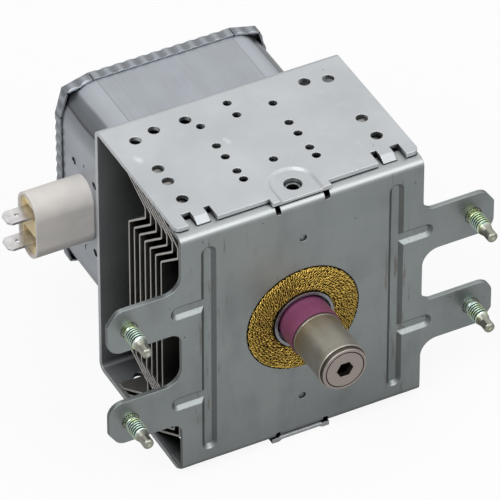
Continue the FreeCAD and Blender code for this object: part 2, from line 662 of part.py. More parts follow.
def draw_recess(sketch, half, front):
    """A straight-sided recess with a round back end, open at the front."""
    left, right = vector("-" + half, "screw_place"), vector(half, "screw_place")
    front_left, front_right = vector("-" + half, front), vector(half, front)
    circle = Part.Circle(vector("0", "screw_place"), FreeCAD.Vector(0, 0, 1), size(half))
    sketch.addGeometry(Part.ArcOfCircle(circle, 0, math.pi))
    sketch.addGeometry(Part.LineSegment(left, front_left))
    sketch.addGeometry(Part.LineSegment(front_left, front_right))
    sketch.addGeometry(Part.LineSegment(front_right, right))
    for one, end, other, start in ((0, 2, 1, 1), (1, 2, 2, 1), (2, 2, 3, 1), (3, 2, 0, 1)):
        sketch.addConstraint(Sketcher.Constraint("Coincident", one, end, other, start))
    pin_point(sketch, 0, 3, "0", "screw_place")
    pin_point(sketch, 1, 1, "-" + half, "screw_place")
    pin_point(sketch, 2, 1, "-" + half, front)
    pin_point(sketch, 3, 1, half, front)
    constrain(sketch, "DistanceY", -1, 1, 3, 2, text="screw_place")


def drill_ducts(body):
    """Air holes, the same in the top and the bottom plate."""
    small = [("-duct_near", row) for row in ("duct_row", "duct_second", "duct_fourth", "duct_sixth",
                                             "duct_seventh")]
    small += [("duct_near", row) for across, row in small]
    small += [("0", row) for row in ("duct_second", "duct_seventh", "duct_last")]
    large = [("-duct_far", row) for row in ("duct_row", "duct_third", "duct_fifth", "duct_eighth")]
    large += [("duct_far", row) for row in ("duct_row", "duct_third", "duct_eighth")]
    large += [("-duct_mid", "duct_ninth"), ("duct_mid", "duct_ninth"), ("-duct_single", "duct_ninth")]
    for name, places, radius in (("small_ducts", small, "duct_small"), ("large_ducts", large, "duct_large")):
        sketch = new_sketch(body, "XY_Plane", name)
        for across, back in places:
            add_circle(sketch, across, back, radius)
        pocket(body, sketch, "yoke_height * 1.1", Midplane=True)


def make_fin(number):
    """A folded fin: flat on the anode, stepped forward, and back to feet on the yoke."""
    name = "fin_%d" % number
    front = "(fin_first + fin_pitch * %d - fin_sheet / 2)" % (number - 1)
    wall = PLATE_TOP
    below = "(" + PLATE_TOP + " - %s)"
    line = document.addObject("Sketcher::SketchObject", name + "_line")
    line.Placement = FreeCAD.Placement(FreeCAD.Vector(0, 0, 0), FreeCAD.Rotation(90, 0, 90))
    top_foot = foot_length("fin_return_top", "fin_riser_top")
    low_foot = foot_length("fin_return_low", "fin_riser_low")
    step = front + " - fin_step"
    add_bent_line(line, [
        (step + " + fin_return_low + " + low_foot, "-" + wall), (step + " + fin_return_low", "-" + wall),
        (step, "-" + below % "fin_riser_low"), (step, "-" + below % "fin_step_low"),
        (front, "-" + below % "fin_flat_low"), (front, below % "fin_flat_top"),
        (step, below % "fin_step_top"), (step, below % "fin_riser_top"),
        (step + " + fin_return_top", wall), (step + " + fin_return_top + " + top_foot, wall)], "fin_bend")
    section = document.addObject("Part::Offset2D", name + "_section")
    section.Source = line
    section.Mode = "Skin"
    section.Fill = True
    section.Value = size("fin_sheet")
    bind(section, Value="fin_sheet")
    folded = document.addObject("Part::Extrusion", name + "_folded")
    folded.Base = section
    folded.DirMode = "Custom"
    folded.Dir = FreeCAD.Vector(1, 0, 0)
    folded.Solid = True
    folded.Symmetric = True
    bind(folded, LengthFwd="fin_half * 2")
    collar = cylinder(name + "_collar", "anode_radius + fin_sheet", front, "fin_collar")
    hole = cylinder(name + "_hole", "anode_radius", front + " - fin_sheet", "fin_collar + fin_sheet * 2")
    joined = document.addObject("Part::Fuse", name + "_joined")
    joined.Base, joined.Tool = folded, collar
    fin = document.addObject("Part::Cut", name)
    fin.Base, fin.Tool = joined, hole
    fin.Label = name
    return fin


def foot_length(run, riser):
    """A foot as long as the next fin's slope behind it leaves room for."""
    return "(fin_pitch - fin_foot_gap - fin_sheet * %s / %s)" % (run, riser)


def cylinder(name, radius, start, length):
    """A cylinder about the antenna's axis."""
    thing = document.addObject("Part::Cylinder", name)
    thing.Placement = FreeCAD.Placement(FreeCAD.Vector(0, 0, 0), FreeCAD.Rotation(FreeCAD.Vector(1, 0, 0), -90))
    bind(thing, Radius=radius, Height=length)
    thing.setExpression("Placement.Base.y", linked(start))
    return thing


def from_middle(points, rear):
    """Points given by their distance from the tube's middle, towards the front or the rear."""
    sign = "+" if rear else "-"
    return [("%s %s (%s)" % (TUBE_MIDDLE, sign, along), radius) for along, radius in points]


def make_magnet(label, start, end):
    return turn(label, [(start, "magnet_bore"), (start, "magnet_radius"),
                        (end, "magnet_radius"), (end, "magnet_bore")])


def make_pole(label, rear):
    """A pole piece: flat rim on the anode and a cone to the cathode."""
    rim = "anode_length / 2"
    tip = "vane_height / 2 + pole_gap"
    body = turn(label, from_middle([
        (rim + " + pole_rim", "pole_radius"), (rim + " + pole_rim", "pole_cone"),
        (tip + " + pole_wall", "pole_bore"), (tip, "pole_bore"), (tip, "pole_tip"),
        (rim, "pole_cone + pole_rim"), (rim, "pole_radius")], rear))
    if not rear:
        hole = new_sketch(body, "XZ_Plane", "lead_hole")
        add_circle(hole, "0", "lead_place - lead_radius * 1.5", "lead_radius * 2.6")
        pocket(body, hole, TUBE_MIDDLE)
    return body


def make_anode():
    inner = "anode_radius - anode_wall"
    half = "anode_length / 2"
    section = from_middle([("-" + half, inner), ("-" + half, "anode_radius")], False)
    section += from_middle([(half, "anode_radius"), (half, inner)], False)
    return turn("anode_cylinder", section)


def make_vane(number):
    """A vane with stepped notches for two strap rings at each end."""
    body = new_body("vane_%d" % number)
    root = "sqrt((anode_radius - anode_wall)^2 - (vane_thick / 2)^2)"
    half = "vane_height / 2"
    near = "strap_inner - strap_clear"
    far = "strap_outer + strap_wide + strap_clear"
    carried, free = "strap_depth", "(strap_depth + strap_clear)"
    between_small = "strap_inner + strap_wide + strap_clear"
    between_large = "strap_outer - strap_clear"
    front_small = number % 2 == 0
    points = []
    for rear in (False, True):
        small = front_small != rear
        first, second = (carried, free) if small else (free, carried)
        border = between_large if small else between_small
        outline = from_middle([
            (half, "vane_tip"), (half, near), (half + " - " + first, near),
            (half + " - " + first, border), (half + " - " + second, border),
            (half + " - " + second, far), (half, far), (half, root)], rear)
        points += outline[::-1] if rear else outline
    sketch = new_sketch(body, "YZ_Plane", "vane_%d_outline" % number)
    add_outline(sketch, points)
    pad(body, sketch, "vane_thick", Midplane=True)
    angle = 360 / size("vane_count") * (number - 1)
    body.Placement.Rotation = FreeCAD.Rotation(FreeCAD.Vector(0, 1, 0), angle)
    return body


def make_strap(label, inner, rear):
    floor = "vane_height / 2 - strap_depth"
    return turn(label, from_middle([
        (floor, inner), (floor, inner + " + strap_wide"),
        (floor + " + strap_thick", inner + " + strap_wide"), (floor + " + strap_thick", inner)], rear))


def make_seal_cup(label, foot, end, seat, rear):
    """A flanged steel cup that joins a ceramic to a pole piece."""
    inner = "cup_radius - cup_wall"
    sign = "+" if rear else "-"
    ledge = "%s %s cup_ledge" % (seat, "-" if rear else "+")
    return turn(label, [
        (foot, inner), (foot, "cup_radius + cup_flange"),
        ("%s %s cup_foot" % (foot, sign), "cup_radius + cup_flange"),
        ("%s %s cup_foot" % (foot, sign), "cup_radius"), (end, "cup_radius"), (end, inner),
        (seat, inner), (seat, "ceramic_radius - ceramic_wall"), (ledge, "ceramic_radius - ceramic_wall"),
        (ledge, inner)])


def make_ceramic():
    bore = "ceramic_radius - ceramic_wall"
    return turn("output_ceramic", [
        ("ceramic_seat", bore), ("ceramic_seat", "ceramic_radius"),
        ("-ceramic_proud", "ceramic_radius"), ("-ceramic_proud", bore)])


def make_cap():
    """Antenna cap with a bead at each end, a narrower nose and a hexagonal hole."""
    bore = "cap_radius - cap_wall"
    raised = "cap_radius + cap_bead"
    nose = raised + " - cap_nose_step"
    tip, base = "-cap_tip", "-ceramic_proud"
    front = "-(cap_tip - cap_nose)"
    slope = "cap_bead / 2"
    body = turn("antenna_cap", [
        (base, bore), (base, raised), (base + " - cap_bead_base", raised),
        (base + " - cap_bead_base - " + slope, "cap_radius"),
        (front + " + cap_bead_wide + " + slope, "cap_radius"), (front + " + cap_bead_wide", raised),
        (front, raised), (front, nose), (tip, nose), (tip, "0"),
        (tip + " + cap_end", "0"), (tip + " + cap_end", bore)])
    round_edges(body, ring_edges(body.Shape, (tip, nose)), "cap_nose_round")
    round_edges(body, ring_edges(body.Shape, (front, raised)), "cap_nose_step / 2")
    groove = new_sketch(body, "XZ_Plane", "cap_groove", ("0", "0", "cap_tip"))
    add_circle(groove, "0", "0", "cap_groove + cap_groove_wide / 2")
    add_circle(groove, "0", "0", "cap_groove - cap_groove_wide / 2")
    pocket(body, groove, "cap_groove_depth")
    hexagon = new_sketch(body, "XZ_Plane", "cap_hexagon", ("0", "0", "cap_tip"))
    corner = "cap_hex / 2"
    flat = "cap_hex / 4 * sqrt(3)"
    add_outline(hexagon, [
        (corner, "0"), (corner + " / 2", flat), ("-%s / 2" % corner, flat),
        ("-" + corner, "0"), ("-%s / 2" % corner, "-" + flat), (corner + " / 2", "-" + flat)])
    pocket(body, hexagon, "cap_end * 2")
    return body


def make_gasket():
    bore = "cup_radius + gasket_play"
    shoulder = "gasket_proud - seat_depth"
    return turn("mesh_gasket", [
        ("seat_depth", bore), ("seat_depth", "gasket_radius"), ("-(%s)" % shoulder, "gasket_radius"),
        ("-gasket_proud", "gasket_radius - seat_depth * 2"), ("-gasket_proud", bore + " + seat_depth * 2"),
        ("-(%s)" % shoulder, bore)])


def make_exhaust_tip():
    """Copper tube with a flange, pinched shut at its end."""
    face = "-ceramic_proud"
    end = "-(ceramic_proud + tube_reach)"
    return turn("exhaust_tip", [
        (face, "tube_bore"), (face, "cap_radius - cap_wall - cup_play"),
        (face + " - cup_foot", "cap_radius - cap_wall - cup_play"),
        (face + " - cup_foot", "tube_radius"), (end + " + tube_radius", "tube_radius"),
        (end, "tube_radius / 3"), (end, "0"), (end + " + tube_radius / 2", "0"),
        (end + " + tube_radius", "tube_bore")])


def sweep(label, points, radius, bend):
    """A round wire along a bent line in the YZ plane, which starts along -Y or +Y."""
    body = new_body(label)
    path = new_sketch(body, "YZ_Plane", label + "_path")
    add_bent_line(path, points, bend)
    section = new_sketch(body, "XZ_Plane", label + "_section", ("0", "0", "-(%s)" % points[0][0]))
    add_circle(section, "0", points[0][1], radius)
    pipe = body.newObject("PartDesign::AdditivePipe", label + "_pipe")
    pipe.Profile = section
    pipe.Spine = (path, [])
    body.Tip = pipe
    document.recompute()
    return body


def make_antenna_lead():
    """Lead from the top vane, through the front pole piece, into the exhaust tube."""
    vane = "%s - vane_height / 2" % TUBE_MIDDLE
    return sweep("antenna_lead", [
        (vane, "lead_place"), (vane + " - lead_radius * 4", "lead_place"), ("ceramic_seat", "0"),
        ("-(ceramic_proud + tube_reach - tube_radius * 2)", "0")], "lead_radius", "lead_radius * 4")


def make_rods():
    """Two rods from the cathode to the stem's terminals, spread apart inside the input cup."""
    hat = "%s - vane_height / 2 - filament_over - hat_thick" % TUBE_MIDDLE
    rear_hat = "%s + vane_height / 2 + filament_over + hat_thick" % TUBE_MIDDLE
    bend, spread, end = "rod_radius * 4", "(%s + cup_foot)" % CUP_REAR, SLEEVE_FACE + " + sleeve_length"
    joint = STEM_FACE + " - rod_radius * 3"
    centre = sweep("centre_rod", [
        (hat, "0"), (spread, "0"), (joint, "blade_apart / 2"), (end, "blade_apart / 2")],
        "rod_radius", bend)
    side = sweep("side_rod", [
        (rear_hat, "-rod_apart"), (spread, "-rod_apart"), (joint, "-blade_apart / 2"),
        (end, "-blade_apart / 2")], "rod_radius", bend)
    return [centre, side]


def make_hat(label, rear):
    """An end hat; the centre rod is fixed in the front one and passes freely through the rear one."""
    start = "vane_height / 2 + filament_over"
    bore = "rod_radius + rod_clear" if rear else "rod_radius"
    return turn(label, from_middle([
        (start, bore), (start, "hat_radius"), (start + " + hat_thick", "hat_radius"),
        (start + " + hat_thick", bore)], rear))


def coil_points(centre, radius, pitch, turns, axis, start):
    """Points of a coil round an axis, starting on a given side of it."""
    points = []
    across = axis.cross(start)
    for step in range(round(turns * COIL_STEPS) + 1):
        angle = 2 * math.pi * step / COIL_STEPS
        side = start * math.cos(angle) + across * math.sin(angle)
        points.append(centre + axis * (pitch * step / COIL_STEPS) + side * radius)
    return points


def make_wire(label, points, radius):
    """A six-sided wire mitred along a line through points."""
    direction = (points[1] - points[0]).normalize()
    first = direction.cross(FreeCAD.Vector(0.3, 0.5, 0.8)).normalize() * radius
    turn_by = FreeCAD.Rotation(direction, 360 / WIRE_SIDES)
    rim = [points[0] + first]
    for side in range(WIRE_SIDES):
        first = turn_by.multVec(first)
        rim.append(points[0] + first)
    pipe = Part.BRepOffsetAPI.MakePipeShell(Part.makePolygon(points))
    pipe.setTransitionMode(1)
    pipe.add(Part.makePolygon(rim), False, False)
    pipe.build()
    pipe.makeSolid()
    wire = document.addObject("Part::Feature", label)
    wire.Shape = pipe.shape()
    wire.Label = label
    return wire


def make_filament():
    """Coiled wire between the end hats."""
    half = size("vane_height / 2 + filament_over - filament_wire")
    centre = FreeCAD.Vector(0, size(TUBE_MIDDLE) - half, 0)
    points = coil_points(centre, size("filament_radius"), half * 2 / size("filament_turns"),
                         size("filament_turns"), FreeCAD.Vector(0, 1, 0), FreeCAD.Vector(0, 0, 1))
    return make_wire("filament", points, size("filament_wire"))


def make_stem_ceramic():
    """Disc in the input cup with a column for the two rods."""
    face = STEM_FACE
    body = turn("stem_ceramic", [
        (face, "0"), (face, "cup_radius - cup_wall"), (face + " + stem_body", "cup_radius - cup_wall"),
        (face + " + stem_body", "stem_column_radius"),
        (face + " + stem_body + stem_column", "stem_column_radius"),
        (face + " + stem_body + stem_column", "0")])
    holes = new_sketch(body, "XZ_Plane", "rod_holes", ("0", "0", "-(%s + stem_body * 4)" % face))
    for side in ("", "-"):
        add_circle(holes, "0", side + "blade_apart / 2", "rod_radius")
    pocket(body, holes, "stem_body * 8", Reversed=True)
    return body


def make_sleeve(label, level):
    """A cathode terminal welded on a rod's end."""
    body = new_body(label)
    section = new_sketch(body, "XZ_Plane", label + "_section", ("0", "0", "-(%s)" % SLEEVE_FACE))
    add_circle(section, "0", level + "blade_apart / 2", "sleeve_radius")
    add_circle(section, "0", level + "blade_apart / 2", "rod_radius")
    pad(body, section, "sleeve_length", Reversed=True)
    return body


def rounded_square(sketch, half, corner):
    """A square of four sides joined by corner arcs."""
    centre = "(%s - (%s))" % (half, corner)
    flip = "-(%s)"
    outer, place = "(%s)" % half, centre
    sides = [
        ((place, outer), (flip % place, outer)), ((flip % outer, place), (flip % outer, flip % place)),
        ((flip % place, flip % outer), (place, flip % outer)), ((outer, flip % place), (outer, place))]
    first = sketch.GeometryCount
    for start, end in sides:
        sketch.addGeometry(Part.LineSegment(vector(*start), vector(*end)))
    turns = [(flip % place, place, 90), (flip % place, flip % place, 180), (place, flip % place, 270),
             (place, place, 0)]
    for across, up, angle in turns:
        circle = Part.Circle(vector(across, up), FreeCAD.Vector(0, 0, 1), size(corner))
        start = math.radians(angle)
        sketch.addGeometry(Part.ArcOfCircle(circle, start, start + math.pi / 2))
    for index in range(4):
        side, arc, following = first + index, first + 4 + index, first + (index + 1) % 4
        sketch.addConstraint(Sketcher.Constraint("Tangent", side, 2, arc, 1))
        sketch.addConstraint(Sketcher.Constraint("Tangent", arc, 2, following, 1))
    for index, (across, up, angle) in enumerate(turns):
        pin_point(sketch, first + 4 + index, 3, across, up)
    constrain(sketch, "Radius", first + 4, text=corner)


def make_box():
    """Drawn filter box, open at the rear, with openings for the stem, connector and rivets."""
    body = new_body("filter_box")
    outline = new_sketch(body, "XZ_Plane", "box_outline", ("0", "0", "-yoke_depth"))
    rounded_square(outline, "box_half", "box_round")
    pad(body, outline, "box_length", Reversed=True)
    hollow = new_sketch(body, "XZ_Plane", "box_hollow", ("0", "0", "-(yoke_depth + box_sheet)"))
    rounded_square(hollow, "(box_half - box_sheet)", "box_round - box_sheet")
    pocket(body, hollow, "box_length")
    base = new_sketch(body, "XZ_Plane", "box_holes", ("0", "0", "-yoke_depth"))
    cup_hole(base)
    for across in ("-rivet_place", "rivet_place"):
        for up in ("-rivet_place", "rivet_place"):
            add_circle(base, across, up, "rivet_radius")
    pocket(body, base, "box_sheet * 2")
    port = new_sketch(body, "YZ_Plane", "port_opening", ("0", "0", "-box_half * 1.1"))
    draw_port(port, "port_neck")
    draw_earth_holes(port)
    pocket(body, port, "box_half / 2", Reversed=True)
    clinches = new_sketch(body, "YZ_Plane", "clinch_marks", ("0", "0", "-box_half"))
    for level in ("", "-"):
        draw_clinch(clinches, level)
    pocket(body, clinches, "clinch_depth", Reversed=True)
    return body


def draw_port(sketch, radius):
    add_stadium(sketch, PORT_MIDDLE, "-port_straight", PORT_MIDDLE, "port_straight", radius)


def draw_earth_holes(sketch):
    """Four small holes beside the connector."""
    for along in ("-", "+"):
        for level in ("-", ""):
            add_circle(sketch, "%s %s earth_hole_wide" % (PORT_MIDDLE, along),
                       level + "earth_hole_high", "earth_hole")


def draw_clinch(sketch, level):
    """A narrow bent mark that the punch leaves where it locks the earth plate to the wall."""
    near, far = "%s - clinch_wide / 2" % PORT_MIDDLE, "%s + clinch_wide / 2" % PORT_MIDDLE
    low, high = "(clinch_high - clinch_run / 2)", "(clinch_high + clinch_run / 2)"
    points = [(near, high), (near, "(clinch_high - clinch_wide / 2)"), (near + " - clinch_run / 2", low),
              (far + " - clinch_run / 2", low), (far, "(clinch_high - clinch_wide / 2)"), (far, high)]
    add_outline(sketch, [(along, level + up) for along, up in points])


def make_cover():
    """Box cover with a fluted rim, two flats round each corner and slits at their ends."""
    body = new_body("filter_cover")
    end = "(yoke_depth + box_length + box_sheet)"
    half = "(box_half + cover_play + box_sheet)"
    outline = new_sketch(body, "XZ_Plane", "cover_outline", ("0", "0", "-" + end))
    add_outline(outline, folded_square("cover_play + box_sheet"))
    pad(body, outline, "cover_skirt")
    hollow = new_sketch(body, "XZ_Plane", "cover_hollow", ("0", "0", "-(%s - cover_skirt)" % end))
    add_outline(hollow, folded_square("cover_play"))
    pocket(body, hollow, "cover_skirt - box_sheet")

    flute = new_sketch(body, "XZ_Plane", "flute", ("0", "0", "-" + end))
    start = "-ripple_pitch * (ripple_count - 1) / 2"
    add_circle(flute, start, half + " + ripple_radius - ripple_depth", "ripple_radius")
    flute = pocket(body, flute, "cover_skirt * 2", Midplane=True)
    add_flute_pattern(body, flute)
    slits = new_sketch(body, "XZ_Plane", "slits", ("0", "0", "-(%s - box_sheet)" % end))
    for right, up in (("1", "1"), ("-1", "1"), ("-1", "-1"), ("1", "-1")):
        draw_slits(slits, right, up)
    pocket(body, slits, "cover_skirt", Reversed=True)
    return body


def corner_folds(play):
    """The three folds of a corner whose two flats touch an arc round the box's own corner arc."""
    centre = "(box_half - box_round)"
    arc = "(box_round + %s)" % play
    near = "(%s + %s * tan(cover_lean / 2))" % (centre, arc)
    middle = "(%s + %s / (sin(cover_lean) + cos(cover_lean)))" % (centre, arc)
    side = "(%s + %s)" % (centre, arc)
    return [(side, near), (middle, middle), (near, side)]


def folded_square(play):
    """Points of a square with folded corners, outside the box's outline by a clearance."""
    folds = corner_folds(play)
    points = list(folds)
    points += [("-" + across, up) for across, up in folds[::-1]]
    points += [("-" + across, "-" + up) for across, up in folds]
    points += [(across, "-" + up) for across, up in folds[::-1]]
    return points


def draw_slits(sketch, right, up):
    """Slits through the rim at the three folds of a corner."""
    for (across, height), angle in zip(corner_folds("cover_play + box_sheet / 2"), ("0", "45", "90")):
        points = []
        for out, side in (("-", "-"), ("+", "-"), ("+", "+"), ("-", "+")):
            other = "+" if side == "-" else "-"
            shift = "(%s %s box_sheet * cos(%s) %s slit_width / 2 * sin(%s))" % (
                across, out, angle, side, angle)
            rise = "(%s %s box_sheet * sin(%s) %s slit_width / 2 * cos(%s))" % (
                height, out, angle, other, angle)
            points.append(("%s * %s" % (right, shift), "%s * %s" % (up, rise)))
        add_outline(sketch, points)


def add_flute_pattern(body, flute):
    """Repeat a flute along one side and round the four sides."""
    pattern = body.newObject("PartDesign::MultiTransform", "flutes")
    pattern.Originals = [flute]
    row = document.addObject("PartDesign::LinearPattern", "flute_row")
    row.Direction = (origin_axis(body, "X_Axis"), [""])
    ring = document.addObject("PartDesign::PolarPattern", "flute_ring")
    ring.Axis = (origin_axis(body, "Y_Axis"), [""])
    ring.Angle = 360
    ring.Occurrences = 4
    pattern.Transformations = [row, ring]
    body.Tip = pattern
    bind(row, Length="ripple_pitch * (ripple_count - 1)", Occurrences="ripple_count")
    document.recompute()


def origin_axis(body, role):
    return [feature for feature in body.Origin.OriginFeatures if feature.Role == role][0]


def make_rivets():
    """Rivets that hold the filter box on the yoke."""
    body = new_body("box_rivets")
    inner, outer = "yoke_depth - yoke_sheet", "yoke_depth + box_sheet"
    stages = [("shank", inner, "rivet_radius", "yoke_sheet + box_sheet"),
              ("inner_head", inner + " - rivet_rise", "rivet_head", "rivet_rise"),
              ("outer_head", outer, "rivet_head", "rivet_rise")]
    for name, start, radius, length in stages:
        sketch = new_sketch(body, "XZ_Plane", "rivet_" + name, ("0", "0", "-(%s)" % start))
        for across in ("-rivet_place", "rivet_place"):
            for up in ("-rivet_place", "rivet_place"):
                add_circle(sketch, across, up, radius)
        pad(body, sketch, length, Reversed=True)
    return body


def make_stud(number, side, level):
    """A press-in stud: head, knurled collar in the ear, thread, cone and plain end."""
    body = new_body("stud_%d" % number)
    sketch = new_sketch(body, "YZ_Plane", "stud_%d_section" % number,
                        ("0", level + EAR_MIDDLE, side + STUD_MIDDLE))
    head = "plate_sheet + head_thick"
    thread_end = "-(stud_length - stud_dog)"
    add_outline(sketch, [
        (head, "0"), (head, "head_radius"), ("plate_sheet", "head_radius"),
        ("plate_sheet", "knurl_radius"), ("0", "knurl_radius"), ("0", "stud_radius"),
        (thread_end, "stud_radius"), (thread_end + " - (stud_radius - stud_dog_radius)", "stud_dog_radius"),
        ("-(stud_length - stud_tip)", "stud_dog_radius"), ("-stud_length", "stud_dog_radius - stud_tip"),
        ("-stud_length", "0")])
    feature = body.newObject("PartDesign::Revolution", "stud_%d_turned" % number)
    feature.Profile = sketch
    feature.ReferenceAxis = (sketch, ["H_Axis"])
    feature.Angle = 360
    body.Tip = feature
    document.recompute()
    return body


def make_housing():
    """Feed-through capacitor's moulded housing, with a neck into the box and a recessed end."""
    body = new_body("capacitor_housing")
    wall = "-box_half"
    outline = new_sketch(body, "YZ_Plane", "housing_outline", ("0", "0", wall))
    draw_port(outline, "port_round")
    pad(body, outline, "port_length", Reversed=True)
    neck = new_sketch(body, "YZ_Plane", "housing_neck", ("0", "0", wall))
    draw_port(neck, "port_neck")
    pad(body, neck, "box_sheet + earth_sheet * 2")
    recess = new_sketch(body, "YZ_Plane", "housing_recess", ("0", "0", wall + " - port_length"))
    draw_port(recess, "port_round - port_wall")
    pocket(body, recess, "port_recess", Reversed=True)
    blades = new_sketch(body, "YZ_Plane", "blade_passages", ("0", "0", wall + " - port_length"))
    draw_blades(blades, "0")
    pocket(body, blades, "port_length * 2", Reversed=True)
    return body


def draw_blades(sketch, clear):
    """The outlines of the two blades, each widened by a clearance."""
    for level in ("-", ""):
        middle = "%sblade_apart / 2" % level
        add_rectangle(sketch, "%s - blade_width / 2 - %s" % (PORT_MIDDLE, clear),
                      "%s - blade_thick / 2 - %s" % (middle, clear),
                      "%s + blade_width / 2 + %s" % (PORT_MIDDLE, clear),
                      "%s + blade_thick / 2 + %s" % (middle, clear))


def make_insert():
    """Insulator in the housing's open end, with a well round each blade."""
    body = new_body("capacitor_insert")
    bottom = "-(box_half + port_length - port_recess)"
    outline = new_sketch(body, "YZ_Plane", "insert_outline", ("0", "0", bottom))
    draw_port(outline, "port_round - port_wall")
    draw_blades(outline, "blade_slot")
    pad(body, outline, "port_fill", Reversed=True)
    return body


def make_earth_plate():
    """Earth plate of the capacitor, inside the box's wall."""
    body = new_body("earth_plate")
    inner = "-(box_half - box_sheet)"
    outline = new_sketch(body, "YZ_Plane", "earth_outline", ("0", "0", inner))
    add_rectangle(outline, PORT_MIDDLE + " - earth_half_wide", "-earth_half_high",
                  PORT_MIDDLE + " + earth_half_wide", "earth_half_high")
    draw_port(outline, "port_neck")
    draw_earth_holes(outline)
    pad(body, outline, "earth_sheet")
    return body


def make_blade(number, level):
    """A tab terminal that runs through the housing, with a chamfered tip and a hole."""
    body = new_body("blade_%d" % number)
    low = "%sblade_apart / 2 - blade_thick / 2" % level
    outline = new_sketch(body, "XY_Plane", "blade_%d_outline" % number, ("0", "0", low))
    tip = "-(box_half + port_length + blade_proud)"
    inner = "-(box_half - blade_inside)"
    front, back = PORT_MIDDLE + " - blade_width / 2", PORT_MIDDLE + " + blade_width / 2"
    add_outline(outline, [
        (inner, front), (inner, back), (tip + " + blade_chamfer", back), (tip, back + " - blade_chamfer"),
        (tip, front + " + blade_chamfer"), (tip + " + blade_chamfer", front)])
    add_circle(outline, tip + " + blade_hole_place", PORT_MIDDLE, "blade_hole")
    pad(body, outline, "blade_thick")
    return body


def make_choke(label, side):
    """Choke coil between a blade and a cathode terminal, with a lead at each end."""
    middle = size(PORT_MIDDLE)
    wire = side * size("blade_apart / 2")
    blade = -size("box_half - blade_inside")
    start = blade + size("choke_lead")
    top = size(SLEEVE_FACE + " + sleeve_length")
    centre = FreeCAD.Vector(start, middle, side * size(CHOKE_HEIGHT))
    points = [FreeCAD.Vector(blade, middle, wire)]
    points += coil_points(centre, size("choke_mean"), size("choke_pitch"), size("choke_turns"),
                          FreeCAD.Vector(1, 0, 0), FreeCAD.Vector(0, 0, -side))
    points += [FreeCAD.Vector(0, middle, wire), FreeCAD.Vector(0, top, wire)]
    return make_wire(label, points, size("choke_wire"))


def make_core(label, level):
    """Ferrite rod inside a choke."""
    body = new_body(label)
    start = "-(box_half - blade_inside - choke_lead + core_over)"
    section = new_sketch(body, "YZ_Plane", label + "_section", ("0", "0", start))
    add_circle(section, PORT_MIDDLE, level + CHOKE_HEIGHT, "choke_mean - choke_wire - core_play")
    pad(body, section, "choke_pitch * choke_turns + core_over * 2")
    return body


def make_all():
    """Build every sub-part."""
    parts = [make_front_plate(), make_yoke()]
    parts += [make_fin(number) for number in range(1, int(size("fin_count")) + 1)]
    parts += [make_gasket(), make_ceramic(), make_cap(), make_exhaust_tip(), make_antenna_lead()]
    parts += [make_seal_cup("output_cup", CUP_FRONT + " + cup_foot", "-cup_proud", "ceramic_seat", False),
              make_seal_cup("input_cup", CUP_REAR + " - cup_foot", "(yoke_depth + input_proud)", STEM_FACE, True)]
    parts += [make_magnet("front_magnet", "plate_sheet", CUP_FRONT),
              make_magnet("rear_magnet", CUP_REAR, "yoke_depth - yoke_sheet")]
    parts += [make_pole("front_pole_piece", False), make_pole("rear_pole_piece", True), make_anode()]
    parts += [make_vane(number) for number in range(1, int(size("vane_count")) + 1)]
    for end, rear in (("front", False), ("rear", True)):
        parts += [make_strap("%s_small_strap" % end, "strap_inner", rear),
                  make_strap("%s_large_strap" % end, "strap_outer", rear),
                  make_hat("%s_hat" % end, rear)]
    parts += [make_filament(), make_stem_ceramic()]
    parts += make_rods()
    parts += [make_box(), make_cover(), make_rivets(), make_housing(), make_insert(), make_earth_plate()]
    for number, level in ((1, ""), (2, "-")):
        parts += [make_blade(number, level), make_choke("choke_%d" % number, 3 - 2 * number),
                  make_core("ferrite_core_%d" % number, level),
                  make_sleeve("cathode_terminal_%d" % number, level)]
    corners = [(side, level) for level in ("", "-") for side in ("-", "")]
    parts += [make_stud(number, *corner) for number, corner in enumerate(corners, start=1)]
    return parts


os.makedirs("parts", exist_ok=True)
subparts = make_all()
document.recompute()
for thing in document.Objects:
    if "Invalid" in thing.State or "Error" in thing.State:
        raise RuntimeError("%s can't be built" % thing.Name)
for part in subparts:
    if part.Shape.isNull() or not part.Shape.isValid():
        raise RuntimeError("%s has no valid solid" % part.Label)
    part.Shape.exportStep("parts/%s.step" % part.Label)
document.saveAs("magnetron.FCStd")
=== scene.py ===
import json
import math
import bmesh
import bpy
from mathutils import Matrix, Vector


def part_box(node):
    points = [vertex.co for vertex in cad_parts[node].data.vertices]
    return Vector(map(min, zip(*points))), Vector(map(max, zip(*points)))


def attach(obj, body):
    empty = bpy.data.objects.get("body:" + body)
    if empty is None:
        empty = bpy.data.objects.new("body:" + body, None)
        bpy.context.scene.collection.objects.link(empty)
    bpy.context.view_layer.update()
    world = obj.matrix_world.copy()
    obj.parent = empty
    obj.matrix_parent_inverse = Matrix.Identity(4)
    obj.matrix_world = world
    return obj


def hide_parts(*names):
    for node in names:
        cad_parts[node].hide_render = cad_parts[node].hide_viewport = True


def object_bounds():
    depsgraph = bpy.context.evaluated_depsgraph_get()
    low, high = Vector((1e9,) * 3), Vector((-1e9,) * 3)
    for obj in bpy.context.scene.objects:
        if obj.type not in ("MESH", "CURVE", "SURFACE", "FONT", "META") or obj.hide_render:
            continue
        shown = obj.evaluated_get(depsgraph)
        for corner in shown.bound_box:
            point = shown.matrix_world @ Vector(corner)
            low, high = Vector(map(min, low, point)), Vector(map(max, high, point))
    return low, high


# Dresses the magnetron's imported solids: a procedural material for every slot, real threads and
# knurls on the studs, a knitted gasket, flutes on the cover's corners, and the stage.

